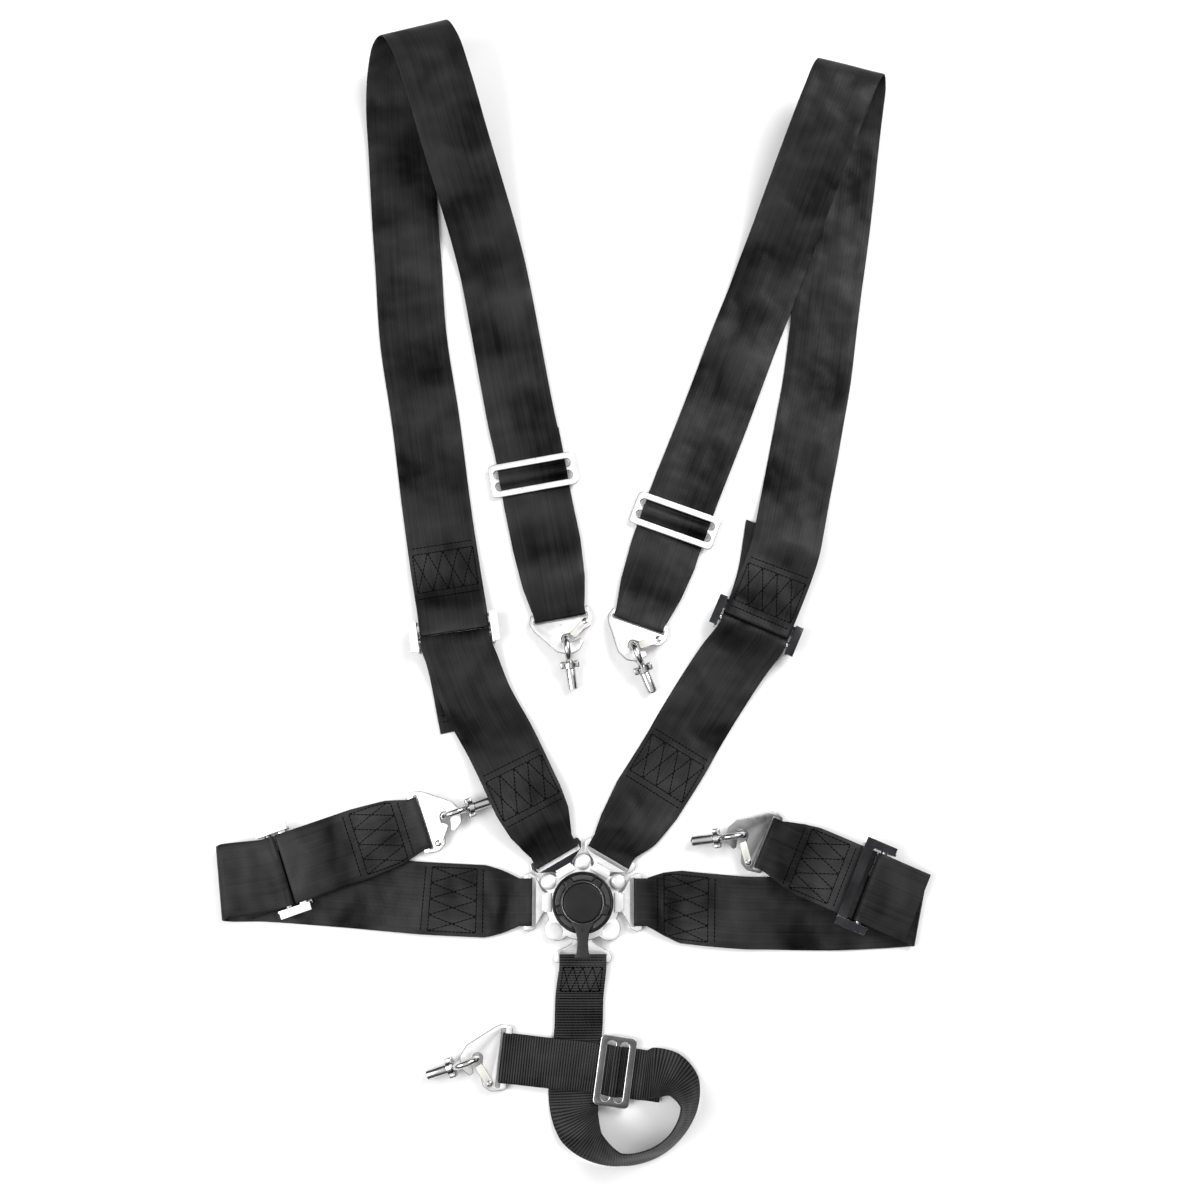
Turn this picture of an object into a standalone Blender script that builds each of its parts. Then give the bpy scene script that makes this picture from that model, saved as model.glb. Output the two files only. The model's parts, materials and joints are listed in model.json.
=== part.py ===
"""Five-point racing harness, laid out flat: a rotary cam-lock buckle, five tongues, nine lengths
of webbing, four adjusters, three slides, five snap hooks and five eye bolts.

Metres, +Z up. The origin is on the knob's turning axis, on the underside of the base plate.
"""
import bpy
import bmesh
from math import asin, atan2, ceil, cos, pi, radians, sin, sqrt, tan
from mathutils import Matrix, Vector

for item in list(bpy.data.objects):
    bpy.data.objects.remove(item)

# ------------------------------------------------------------------ driving dimensions
GAP = 0.0003  # clearance between pieces that touch
BELT_WIDTH = 0.0762  # shoulder and lap webbing
CROTCH_WIDTH = 0.0508  # crotch webbing
WEB_THICK = 0.0015
WEB_STEP = 0.040  # longest facet of a strap
CHORD = 1.09  # webbing bends round a bar in 45 degree facets, so it stands this much further off
FLOOR_LAYER = WEB_THICK / 2 + GAP  # middle of a layer lying on the floor
LAYER = WEB_THICK + GAP  # rise from one layer to the next

# buckle
BASE_RADIUS = 0.040
BASE_THICK = 0.0024
TONGUE_THICK = 0.0025
TONGUE_LOW = BASE_THICK + GAP
TONGUE_TOP = TONGUE_LOW + TONGUE_THICK
COVER_LOW = TONGUE_TOP + GAP
COVER_THICK = 0.0025
COVER_TOP = COVER_LOW + COVER_THICK
EAR_ANGLES = (30, 90, 150)
LOBE_ANGLES = (225, 315)
EAR_RADIUS, EAR_REACH = 0.0090, 0.0425
LOBE_RADIUS, LOBE_REACH = 0.0130, 0.0385
LOBE_BOSS_RADIUS, LOBE_BOSS_REACH = 0.0090, 0.0425
EAR_RISE = 0.0042
LOBE_RISE = 0.0021
POST_SIDES = 14  # facets of a housing boss
LINTEL_SIZE = (0.0070, 0.0205, 0.0030)
LINTEL_REACH = 0.0372
TONGUE_ANGLES = {"shoulder_right": 60, "shoulder_left": 120, "lap_left": 180, "lap_right": 0, "crotch": 270}
LATCHED = ("shoulder_right", "shoulder_left", "lap_left", "lap_right")

# tongue, measured outwards from the knob's axis
TIP_REACH = 0.0125
TIP_HALF = 0.0050
NECK_REACH = 0.0240
NECK_HALF = 0.0100
WING_REACH = 0.0430
SLOT_NEAR = 0.0495
BAR_NEAR = 0.0560
BAR_WIDTH = 0.0070
TONGUE_SLOT_HALF = 0.0270
WING_MARGIN = 0.0038
EJECT = 0.0040  # how far a freed tongue backs out

# lock
PIN_REACH = 0.0240
PIN_RADIUS = 0.0025
PIN_HEAD_RADIUS = 0.0045
PIN_HEAD_THICK = 0.0020
PIN_LIFT = 0.0040
KNOB_TURN = radians(30)
CAM_THICK = 0.0020
CAM_INNER, CAM_OUTER = 0.0150, 0.0292
POST_RADIUS = 0.0060
POST_NECK = 0.0040
SPRING_WIRE = 0.0008
SPRING_RADIUS = 0.0100
SPRING_TURNS = 4
LEAF_THICK = 0.0006
LEAF_HUB = 0.0085
LEAF_WIDTH = 0.0042

# knob
KNOB_RADIUS = 0.0325
KNOB_WALL = 0.0022
KNOB_FLOOR_THICK = 0.0022
KNOB_RIM_RISE = 0.0026
SPIDER_RING = 0.0235
SPOKE_REACH = 0.0292
SPOKE_HALF = 0.0038
SPIDER_THICK = 0.0030
LEVER_HALF = 0.0082
LEVER_LENGTH = 0.0570
CAP_RADIUS = 0.0205
CAP_THICK = 0.0036

# snap hook, measured from the end of the webbing loop
HOOK_THICK = 0.0030
HOOK_BAR = (-0.0090, -0.0025)
HOOK_SLOT_END = 0.0015
HOOK_SLOT_HALF = 0.0300
HOOK_HALF = 0.0350
HOOK_LENGTH = 0.0430
HOOK_PITCH = 13  # degrees, the ring lifts the hook's nose off the floor
THROAT = (0.0242, 0.0020)
THROAT_RADIUS = 0.0054
RIVET_AT = (0.0085, 0.0265)
RIVET_RADIUS = 0.0020
GATE_THICK = 0.0010
GATE_HALF = 0.0042
GATE_LENGTH = 0.0255

# eye bolt
RING_RADIUS = 0.0124
RING_WIRE = 0.0036
RING_SET_BACK = 0.0005  # the ring leans back in the throat
COLLAR_RADIUS = 0.0100
COLLAR_THICK = 0.0042
SHANK_RADIUS = 0.0055
SHANK_LENGTH = 0.0260
BOLT_DROOP = radians(12.5)

# three-bar slide
SLIDE_WIDTH = 0.0380
SLIDE_THICK = 0.0030
SLIDE_MARGIN = 0.0105
SLIDE_SLOT = 0.0092
SLIDE_BAR = 0.0048
SLIDE_LOW = FLOOR_LAYER + WEB_THICK / 2 + LAYER + GAP  # two layers of webbing pass beneath a slide
SLIDE_SLOT_MARGIN = 0.0055  # slot length beyond each edge of the webbing

# adjuster, measured along the webbing from its fixed bar
FRAME_CLEAR = 0.0022
FRAME_SHEET = 0.0022
FRAME_FROM, FRAME_TO = -0.0080, 0.0265
FRAME_HEIGHT = 0.0162
FRAME_FOOT = 0.0008
FLANGE_WIDTH = 0.0065
FIXED_BAR = (-0.0035, 0.0035)
FIXED_BAR_THICK = 0.0030
FIXED_LOW = 0.0055
ROD_RADIUS = 0.0035
ROD_AT = 0.0150
ROD_UP = 0.0095
ROD_TRAVEL = 0.0040
ROD_SLACK = 0.0003
ROD_OVERHANG = 0.0025
BRIDGE_WIDTH = 0.0100


# ------------------------------------------------------------------ materials
def material(name, colour, roughness, metallic):
    made = bpy.data.materials.new(name)
    made.use_nodes = True
    shader = made.node_tree.nodes["Principled BSDF"]
    shader.inputs["Base Color"].default_value = (*colour, 1)
    shader.inputs["Roughness"].default_value = roughness
    shader.inputs["Metallic"].default_value = metallic
    return made


BELT = ("belt_webbing", (0.018, 0.018, 0.019), 0.55, 0.0)
CROTCH = ("crotch_webbing", (0.012, 0.012, 0.013), 0.70, 0.0)
ZINC = ("bright_zinc", (0.86, 0.86, 0.85), 0.30, 1.0)
DARK = ("dark_plating", (0.20, 0.20, 0.21), 0.28, 1.0)
CAST = ("cast_housing", (0.82, 0.82, 0.81), 0.32, 1.0)
KNOB = ("knob_black", (0.020, 0.020, 0.022), 0.35, 0.0)
CAP = ("cap_black", (0.035, 0.035, 0.037), 0.50, 0.0)
STEEL = ("spring_steel", (0.45, 0.45, 0.46), 0.35, 1.0)


# ------------------------------------------------------------------ making objects
def finish(name, data, look, place=None):
    """One object from a mesh or curve, with its own material and its place."""
    made = bpy.data.objects.new(name, data)
    label, colour, roughness, metallic = look
    data.materials.append(material(f"{name}_{label}", colour, roughness, metallic))
    bpy.context.scene.collection.objects.link(made)
    made.matrix_world = place or Matrix()
    return made


def mesh_from(name, shape):
    """A mesh from a bmesh, faces turned outwards and round sides smooth."""
    bmesh.ops.recalc_face_normals(shape, faces=shape.faces)
    data = bpy.data.meshes.new(name)
    shape.to_mesh(data)
    shape.free()
    data.shade_smooth()
    data.set_sharp_from_angle(angle=radians(35))
    return data


def plate(name, outlines, low, thick, look, place=None):
    """Sheet metal cut to an outline with holes, from a filled flat curve."""
    data = bpy.data.curves.new(name, "CURVE")
    data.dimensions = "2D"
    data.fill_mode = "BOTH"
    data.extrude = thick / 2
    for outline in outlines:
        spline = data.splines.new("POLY")
        spline.points.add(len(outline) - 1)
        for point, (x, y) in zip(spline.points, outline):
            point.co = (x, y, 0, 1)
        spline.use_cyclic_u = True
    flat = bpy.data.objects.new(name, data)
    shape = bmesh.new()
    shape.from_mesh(bpy.data.meshes.new_from_object(flat))
    bpy.data.objects.remove(flat)
    bmesh.ops.remove_doubles(shape, verts=shape.verts, dist=1e-6)
    bmesh.ops.translate(shape, verts=shape.verts, vec=(0, 0, low + thick / 2))
    return finish(name, mesh_from(name, shape), look, place)


def turned(name, profile, look, place=None, steps=32):
    """A round piece spun about Z from a closed profile of (radius, height) points."""
    shape = bmesh.new()
    points = [shape.verts.new((r, 0, z)) for r, z in profile]
    ring = [shape.edges.new((points[i], points[i - 1])) for i in range(len(points))]
    bmesh.ops.spin(shape, geom=points + ring, cent=(0, 0, 0), axis=(0, 0, 1), angle=2 * pi, steps=steps,
                   use_merge=True)
    bmesh.ops.remove_doubles(shape, verts=shape.verts, dist=1e-6)
    bmesh.ops.dissolve_degenerate(shape, edges=shape.edges, dist=1e-6)
    return finish(name, mesh_from(name, shape), look, place)


def box_body(shape, low, high):
    """Adds a box between two corners to a bmesh."""
    size = Vector(high) - Vector(low)
    middle = (Vector(high) + Vector(low)) / 2
    bmesh.ops.create_cube(shape, size=1, matrix=Matrix.Translation(middle) @ Matrix.Diagonal((*size, 1)))


def rod_body(shape, start, end, radius, sides=16):
    """Adds a round bar between two points to a bmesh."""
    line = Vector(end) - Vector(start)
    turn = line.to_track_quat("Z", "Y").to_matrix().to_4x4()
    middle = (Vector(start) + Vector(end)) / 2
    bmesh.ops.create_cone(shape, cap_ends=True, segments=sides, radius1=radius, radius2=radius,
                          depth=line.length, matrix=Matrix.Translation(middle) @ turn)


def combine(target, shape, operation):
    """Joins a bmesh to an object, or cuts it away, with an exact Boolean."""
    tool = bpy.data.objects.new(f"{target.name}_tool", mesh_from(f"{target.name}_tool", shape))
    tool.hide_render = True
    tool.display_type = "WIRE"
    bpy.context.scene.collection.objects.link(tool)
    tool.matrix_world = target.matrix_world
    step = target.modifiers.new(operation.lower(), "BOOLEAN")
    step.operation = operation
    step.solver = "EXACT"
    step.object = tool


def circle(radius, count, x=0.0, y=0.0):
    angles = [2 * pi * i / count for i in range(count)]
    return [(x + radius * cos(angle), y + radius * sin(angle)) for angle in angles]


def slot_outline(x_low, x_high, y_low, y_high, count=5):
    """A slot with round ends, long in Y."""
    radius = (x_high - x_low) / 2
    middle = (x_high + x_low) / 2
    upper = [(middle + radius * cos(pi * i / count), y_high - radius + radius * sin(pi * i / count))
             for i in range(count + 1)]
    lower = [(middle - radius * cos(pi * i / count), y_low + radius - radius * sin(pi * i / count))
             for i in range(count + 1)]
    return upper + lower


def rounded(points, radius, count=2):
    """A closed outline with each corner rounded, by its own radius where a third value gives one."""
    made = []
    corners = [Vector(p[:2]) for p in points]
    for i, corner in enumerate(corners):
        size = points[i][2] if len(points[i]) > 2 else radius
        before = (corners[i - 1] - corner)
        after = (corners[(i + 1) % len(corners)] - corner)
        half = before.angle(after) / 2
        cut = min(size / max(tan(half), 1e-6), before.length * 0.45, after.length * 0.45)
        start = corner + before.normalized() * cut
        end = corner + after.normalized() * cut
        for j in range(count + 1):
            t = j / count
            made.append(tuple((1 - t) ** 2 * start + 2 * t * (1 - t) * corner + t * t * end))
    return made


def frame(x, y, z, heading, pitch=0.0):
    """A place on the floor plan: +X along the heading, tilted up by the pitch."""
    return (Matrix.Translation((x, y, z)) @ Matrix.Rotation(radians(heading), 4, "Z")
            @ Matrix.Rotation(-radians(pitch), 4, "Y"))


# ------------------------------------------------------------------ webbing
def key(x, y, z, side, width=BELT_WIDTH, lean=0.0):
    """A point on a strap's middle line; side is the plan angle of its right edge, lean lifts that edge."""
    return Vector((x, y, z)), Vector((cos(radians(side)), sin(radians(side)), lean)), width


def near(place, along, up, width=BELT_WIDTH, across=0.0):
    """A point on a strap's middle line, in a fitting's own frame."""
    return place @ Vector((along, across, up)), place.to_3x3() @ Vector((0, 1, 0)), width


def wrap(place, bar, width=BELT_WIDTH):
    """Keys that carry webbing over a bar's top, round its near side and back beneath it."""
    near_side, far_side, low, high, corner = bar
    toward = 1 if far_side > near_side else -1
    reach = GAP + WEB_THICK / 2 + corner * CHORD
    made = [near(place, far_side, high - corner + reach, width)]
    for centre, first in ((high - corner, 90), (low + corner, 180)):
        for turn in (0, 45, 90):
            angle = radians(first + turn)
            made.append(near(place, near_side + toward * (corner + reach * cos(angle)),
                             centre + reach * sin(angle), width))
    if high - low <= 2 * corner + 1e-9:
        made.pop(3)
    made.append(near(place, far_side, low + corner - reach, width))
    return made


def fold(start, heading_in, heading_out, radius, width=BELT_WIDTH):
    """Keys of webbing folded back over itself: it rolls up and over a slanted fold line."""
    going = Vector((cos(radians(heading_in)), sin(radians(heading_in)), 0))
    leaving = Vector((cos(radians(heading_out)), sin(radians(heading_out)), 0))
    line = (going + leaving).normalized()
    out = (going - line * going.dot(line)).normalized()
    made = []
    for turn in range(0, 181, 30):
        angle = radians(turn)
        spot = (Vector(start) + out * radius * sin(angle) + Vector((0, 0, radius * (1 - cos(angle))))
                + line * radius * angle * going.dot(line) / going.dot(out))
        made.append((spot, line, width / going.dot(out)))
    return made


def smooth_route(keys, step):
    """Points on a centripetal Catmull-Rom curve through the keys, with side and width blended."""
    spots = [k[0] for k in keys]
    made = []
    for i in range(len(keys) - 1):
        here, there = spots[i], spots[i + 1]
        before = spots[i - 1] if i else here * 2 - there
        after = spots[i + 2] if i + 2 < len(keys) else there * 2 - here
        spans = ((before, here), (here, there), (there, after))
        a, b, c = [max(sqrt((q - p).length), 1e-6) for p, q in spans]
        leave = ((here - before) / a - (there - before) / (a + b) + (there - here) / b) * b
        arrive = ((there - here) / b - (after - here) / (b + c) + (after - there) / c) * b
        count = max(1, ceil((there - here).length / step))
        for j in range(count + (i == len(keys) - 2)):
            t = j / count
            spot = (here * (2 * t ** 3 - 3 * t ** 2 + 1) + leave * (t ** 3 - 2 * t ** 2 + t)
                    + there * (3 * t ** 2 - 2 * t ** 3) + arrive * (t ** 3 - t ** 2))
            side = keys[i][1].normalized().lerp(keys[i + 1][1].normalized(), t)
            made.append((spot, side, keys[i][2] * (1 - t) + keys[i + 1][2] * t))
    return made


def one_handed(keys):
    """The same keys with every side on the same edge of the strap."""
    made = [keys[0]]
    for spot, side, width in keys[1:]:
        made.append((spot, side if side.dot(made[-1][1]) >= 0 else -side, width))
    return made


def squared(keys):
    """The same keys with every inner side turned square to the way its neighbours run."""
    made = [keys[0]]
    for before, (spot, side, width), after in zip(keys, keys[1:], keys[2:]):
        along = (after[0] - before[0]).normalized()
        made.append((spot, (side - along * side.dot(along)).normalized(), width))
    return made + [keys[-1]]


def strap(name, keys, look=BELT, thick=WEB_THICK):
    """One length of webbing: a flat band swept along its route as a single closed body."""
    route = smooth_route(one_handed(keys), WEB_STEP)
    shape = bmesh.new()
    rings = []
    for i, (spot, side, width) in enumerate(route):
        ahead = route[min(i + 1, len(route) - 1)][0] - route[max(i - 1, 0)][0]
        side = side.normalized()
        normal = side.cross(ahead).normalized()
        corners = [spot + side * width / 2 * a + normal * thick / 2 * b
                   for a, b in ((-1, -1), (1, -1), (1, 1), (-1, 1))]
        rings.append([shape.verts.new(c) for c in corners])
    for ring, following in zip(rings, rings[1:]):
        for j in range(4):
            shape.faces.new((ring[j], ring[(j + 1) % 4], following[(j + 1) % 4], following[j]))
    shape.faces.new(rings[0])
    shape.faces.new(rings[-1])
    return finish(name, mesh_from(name, shape), look)


# ------------------------------------------------------------------ fittings
def tongue(name, angle, look):
    """A flat steel tongue: pointed tip with a pin slot, a neck, and a winged end with a webbing slot."""
    outer = BAR_NEAR + BAR_WIDTH
    wing = TONGUE_SLOT_HALF + WING_MARGIN
    half = [(TIP_REACH, TIP_HALF, 0.0015), (NECK_REACH, NECK_HALF, 0.004),
            (WING_REACH - 0.001, NECK_HALF, 0.006), (SLOT_NEAR + 0.0015, wing - 0.0035, 0.003),
            (BAR_NEAR + 0.001, wing, 0.003), (outer, wing - 0.0015, 0.0035)]
    outline = rounded([(x, -y, r) for x, y, r in half] + [(x, y, r) for x, y, r in reversed(half)], 0.002)
    latch = 0.0 if name == "crotch" else EJECT
    pin_slot = slot_outline(-PIN_RADIUS - GAP, PIN_RADIUS + GAP, PIN_REACH - PIN_RADIUS - GAP - latch,
                            PIN_REACH + PIN_RADIUS + GAP)
    pin_slot = [(y, -x) for x, y in pin_slot]
    strap_slot = rounded([(SLOT_NEAR, -TONGUE_SLOT_HALF + 0.001), (SLOT_NEAR, TONGUE_SLOT_HALF - 0.001),
                          (BAR_NEAR, TONGUE_SLOT_HALF), (BAR_NEAR, -TONGUE_SLOT_HALF)], 0.001)
    return plate(f"tongue_{name}", [outline, pin_slot, strap_slot], TONGUE_LOW, TONGUE_THICK, look,
                 frame(0, 0, 0, angle))


def snap_hook(name, place, hand, look):
    """A pressed hook plate, its sprung gate and the gate's rivet; hand is the side the gate is on."""
    nose = THROAT[1] + 0.0185
    half = [(-0.0100, -HOOK_HALF + 0.003, 0.003), (0.0010, -HOOK_HALF, 0.008),
            (0.0090, -HOOK_HALF + 0.004, 0.01),
            (HOOK_LENGTH - 0.006, -0.0105, 0.01), (HOOK_LENGTH, THROAT[1], 0.009),
            (HOOK_LENGTH - 0.003, 0.0140, 0.007), (0.0300, nose, 0.0025), (0.0262, nose - 0.003, 0.002),
            (THROAT[0] + 0.0045, THROAT[1] + 0.0075, 0.002)]
    throat = [(THROAT[0] + THROAT_RADIUS * sin(radians(a)), THROAT[1] - THROAT_RADIUS * cos(radians(a)), 0.0)
              for a in (110, 80, 50, 20, -10, -40, -70, -100)]
    rest = [(THROAT[0] - THROAT_RADIUS - 0.0003, THROAT[1] + 0.0070, 0.0005), (0.0185, 0.0200, 0.003),
            (0.0150, HOOK_HALF - 0.005, 0.006), (0.0060, HOOK_HALF, 0.008),
            (-0.0100, HOOK_HALF - 0.003, 0.003)]
    outline = [(x, y * hand) for x, y in rounded(half + throat + rest, 0.002)]
    slot = rounded([(HOOK_BAR[1], -HOOK_SLOT_HALF), (HOOK_SLOT_END, -HOOK_SLOT_HALF),
                    (HOOK_SLOT_END, HOOK_SLOT_HALF), (HOOK_BAR[1], HOOK_SLOT_HALF)], 0.0012)
    hole = circle(RIVET_RADIUS + GAP, 8, RIVET_AT[0], RIVET_AT[1] * hand)
    body = plate(f"snap_hook_{name}", [outline, slot, hole], -HOOK_THICK / 2, HOOK_THICK, look, place)

    pivot = place @ Matrix.Translation((RIVET_AT[0], RIVET_AT[1] * hand, 0))
    aim = atan2((THROAT[1] + THROAT_RADIUS - RIVET_AT[1]) * hand, THROAT[0] - RIVET_AT[0])
    leaf = rounded([(-GATE_HALF, -GATE_HALF, 0.004), (GATE_LENGTH - 0.003, -GATE_HALF, 0.002),
                    (GATE_LENGTH - 0.003, GATE_HALF, 0.002), (-GATE_HALF, GATE_HALF, 0.004)], 0.002)
    plate(f"hook_gate_{name}", [leaf, circle(RIVET_RADIUS + GAP, 8)], HOOK_THICK / 2 + GAP, GATE_THICK, look,
          pivot @ Matrix.Rotation(aim, 4, "Z"))

    top = HOOK_THICK / 2 + GAP + GATE_THICK + GAP
    under = -HOOK_THICK / 2 - GAP
    head = RIVET_RADIUS * 1.7
    turned(f"gate_rivet_{name}",
           [(0, under - 0.0008), (head, under - 0.0008), (head, under), (RIVET_RADIUS, under),
            (RIVET_RADIUS, top), (head, top), (head * 0.7, top + 0.0010), (0, top + 0.0013)],
           look, pivot, 12)
    return body


def eye_bolt(name, place, hand, heading):
    """A drop-forged eye bolt whose ring passes through the hook's throat and lies on the floor."""
    hinge = place @ Vector((THROAT[0], THROAT[1] * hand, 0))
    axis = Matrix.Translation((hinge.x, hinge.y, 0)) @ Matrix.Rotation(radians(heading), 4, "Z")
    body = (axis @ Matrix.Translation((RING_RADIUS - RING_SET_BACK, 0, RING_RADIUS + RING_WIRE + GAP))
            @ Matrix.Rotation(BOLT_DROOP, 4, "Y"))
    shape = bmesh.new()
    count, sides = 20, 8
    rings = []
    for i in range(count):
        angle = 2 * pi * i / count
        out = Vector((cos(angle), 0, sin(angle)))
        rings.append([shape.verts.new(out * (RING_RADIUS + RING_WIRE * cos(2 * pi * j / sides))
                                      + Vector((0, RING_WIRE * sin(2 * pi * j / sides), 0)))
                      for j in range(sides)])
    for i in range(count):
        for j in range(sides):
            shape.faces.new((rings[i][j], rings[i][(j + 1) % sides], rings[(i + 1) % count][(j + 1) % sides],
                             rings[(i + 1) % count][j]))
    made = finish(f"eye_bolt_{name}", mesh_from(f"eye_bolt_{name}", shape), ZINC, body)
    collar_from = RING_RADIUS + RING_WIRE - 0.0012
    parts = bmesh.new()
    rod_body(parts, (collar_from, 0, 0), (collar_from + COLLAR_THICK, 0, 0), COLLAR_RADIUS, 16)
    combine(made, parts, "UNION")
    parts = bmesh.new()
    end = collar_from + COLLAR_THICK + SHANK_LENGTH
    rod_body(parts, (collar_from + COLLAR_THICK / 2, 0, 0), (end, 0, 0), SHANK_RADIUS, 12)
    combine(made, parts, "UNION")
    return made


def three_bar_slide(name, place, width, look):
    """A pressed slide: two webbing slots either side of a middle bar."""
    half = width / 2 + SLIDE_MARGIN
    edge = rounded([(-SLIDE_WIDTH / 2, -half), (SLIDE_WIDTH / 2, -half), (SLIDE_WIDTH / 2, half),
                    (-SLIDE_WIDTH / 2, half)], 0.006)
    reach = width / 2 + SLIDE_SLOT_MARGIN
    inner, outer = SLIDE_BAR / 2, SLIDE_BAR / 2 + SLIDE_SLOT
    slots = [slot_outline(inner, outer, -reach, reach), slot_outline(-outer, -inner, -reach, reach)]
    return plate(name, [edge, *slots], SLIDE_LOW, SLIDE_THICK, look, place)


def adjuster(name, place, bridge_up, look):
    """A folded adjuster frame with a fixed bar, a bridge, two cheeks, and a round bar that slides in them."""
    inner = BELT_WIDTH / 2 + FRAME_CLEAR
    outer = inner + FRAME_SHEET
    shape = bmesh.new()
    box_body(shape, (FIXED_BAR[0], -outer + 0.0005, FIXED_LOW),
             (FIXED_BAR[1], outer - 0.0005, FIXED_LOW + FIXED_BAR_THICK))
    made = finish(f"adjuster_frame_{name}", mesh_from(f"adjuster_frame_{name}", shape), look, place)
    reach = outer + FLANGE_WIDTH
    room = ROD_RADIUS + ROD_SLACK
    for side in (-1, 1):
        cheek = bmesh.new()
        near_y, far_y = sorted((side * inner, side * outer))
        box_body(cheek, (FRAME_FROM, near_y, FRAME_FOOT), (FRAME_TO, far_y, FRAME_HEIGHT))
        combine(made, cheek, "UNION")
        flange = bmesh.new()
        near_y, far_y = sorted((side * inner, side * reach))
        box_body(flange, (FRAME_FROM, near_y, FRAME_HEIGHT - FRAME_SHEET),
                 (FRAME_TO - 0.001, far_y, FRAME_HEIGHT + 0.0004))
        combine(made, flange, "UNION")
        window = bmesh.new()
        near_y, far_y = sorted((side * (inner - 0.002), side * (outer + 0.002)))
        box_body(window, (ROD_AT - room, near_y, ROD_UP - room),
                 (ROD_AT + ROD_TRAVEL + room, far_y, ROD_UP + room))
        combine(made, window, "DIFFERENCE")
    bridge = bmesh.new()
    low = FRAME_HEIGHT - FRAME_SHEET + 0.0002 if bridge_up else FRAME_FOOT + 0.0001
    box_body(bridge, (FRAME_FROM - 0.0005, -outer + 0.0004, low),
             (FRAME_FROM + BRIDGE_WIDTH, outer - 0.0004, low + FRAME_SHEET - 0.0004))
    combine(made, bridge, "UNION")
    rod = bmesh.new()
    half = outer + ROD_OVERHANG
    rod_body(rod, (0, -half, 0), (0, half, 0), ROD_RADIUS, 16)
    finish(f"adjuster_bar_{name}", mesh_from(f"adjuster_bar_{name}", rod), ZINC,
           place @ Matrix.Translation((ROD_AT, 0, ROD_UP)))
    return made


# ------------------------------------------------------------------ where the fittings lie
LAP_LIFT = WEB_THICK + 0.0007  # the lap adjusters lie on the lower layer of their strap
ADJUSTERS = {
    "shoulder_left": frame(-0.1422, 0.2993, 0, -81.6),
    "shoulder_right": frame(0.1920, 0.3046, 0.0030, -113.3),
    "lap_left": frame(-0.3100, 0.0370, LAP_LIFT, 198.9),
    "lap_right": frame(0.2924, 0.0209, LAP_LIFT, -23.1),
}
BRIDGE_UP = {"shoulder_left": False, "shoulder_right": False, "lap_left": False, "lap_right": True}
SLIDES = {
    "shoulder_left": frame(-0.0567, 0.4680, 0, -79.5),
    "shoulder_right": frame(0.1016, 0.4160, 0, -110.0),
    "crotch": frame(0.0339, -0.1736, LAP_LIFT, 172.0),
}
HOOKS = {
    "shoulder_left": (frame(-0.0252, 0.3050, 0.0060, -79.0, HOOK_PITCH), 1, -81.8),
    "shoulder_right": (frame(0.0597, 0.2985, 0.0060, -109.5, HOOK_PITCH), 1, -67.0),
    "lap_left": (frame(-0.1708, 0.0846, 0.0060, 18.9, HOOK_PITCH), -1, 19.0),
    "lap_right": (frame(0.1939, 0.0634, 0.0060, 156.9, HOOK_PITCH), 1, 187.0),
    "crotch": (frame(-0.0866, -0.1600, 0.0060, 174.0, HOOK_PITCH), 1, 199.0),
}
TONGUE_BAR = (BAR_NEAR, BAR_NEAR + BAR_WIDTH, TONGUE_LOW, TONGUE_TOP, 0.0)
FIXED = (FIXED_BAR[1], FIXED_BAR[0], FIXED_LOW, FIXED_LOW + FIXED_BAR_THICK, 0.0)
ROD = (ROD_AT - ROD_RADIUS, ROD_AT + ROD_TRAVEL + ROD_RADIUS, ROD_UP - ROD_RADIUS, ROD_UP + ROD_RADIUS,
       ROD_RADIUS)
HOOK_WEB = (HOOK_BAR[1], HOOK_BAR[0] - 0.0018, -HOOK_THICK / 2, HOOK_THICK / 2, 0.0)
TONGUE_WEB = 2 * TONGUE_SLOT_HALF - 0.0040
HOOK_WIDTH = 2 * HOOK_SLOT_HALF - 0.0030


def tongue_eye(name, width=BELT_WIDTH):
    """The sewn eye at a tongue, from the turned-back end beneath to the single layer on top."""
    place = frame(0, 0, 0, TONGUE_ANGLES[name])
    pinched = min(TONGUE_WEB, width)
    slack = BAR_NEAR + BAR_WIDTH + EJECT + 0.0010
    bar = (TONGUE_BAR[0], slack, *TONGUE_BAR[2:])
    return list(reversed(wrap(place, bar, pinched)))


def over_bar(place, reach, width):
    """Keys over the top of a slide's middle bar, square round both of its upper corners."""
    bar, deck = SLIDE_BAR / 2, SLIDE_LOW + SLIDE_THICK
    bend = reach * cos(pi / 4)
    points = [(-bar - reach, deck), (-bar - bend, deck + bend), (-bar, deck + reach),
              (bar, deck + reach), (bar + bend, deck + bend), (bar + reach, deck)]
    return [near(place, x, z, width) for x, z in points]


def through_slide(place, keys_in, keys_out, width=BELT_WIDTH):
    """Main layer up one slot, over the middle bar and down the other, with the returned layer inside."""
    low = FLOOR_LAYER
    inside = (GAP + WEB_THICK / 2) * CHORD
    dip = SLIDE_BAR / 2 + SLIDE_SLOT - 0.0010
    slim = SLIDE_BAR / 2 + inside + 0.0045
    main = ([near(place, -0.030, low + LAYER, width), near(place, -dip, low + LAYER, width)]
            + over_bar(place, inside + LAYER, width)
            + [near(place, dip, low + LAYER, width), near(place, 0.030, low + LAYER, width)])
    back = ([near(place, 0.030, low, width), near(place, slim, low, width)]
            + list(reversed(over_bar(place, inside, width)))
            + [near(place, -slim, low, width), near(place, -0.030, low, width),
               near(place, -0.050, low, width)])
    return keys_in + main + keys_out + back


# ------------------------------------------------------------------ webbing routes
def sewn_to_tongue(name, tail, main, width=BELT_WIDTH):
    """Turned-back end, tongue eye and the first stretch of the main layer."""
    return tail + tongue_eye(name, width) + main


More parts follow.
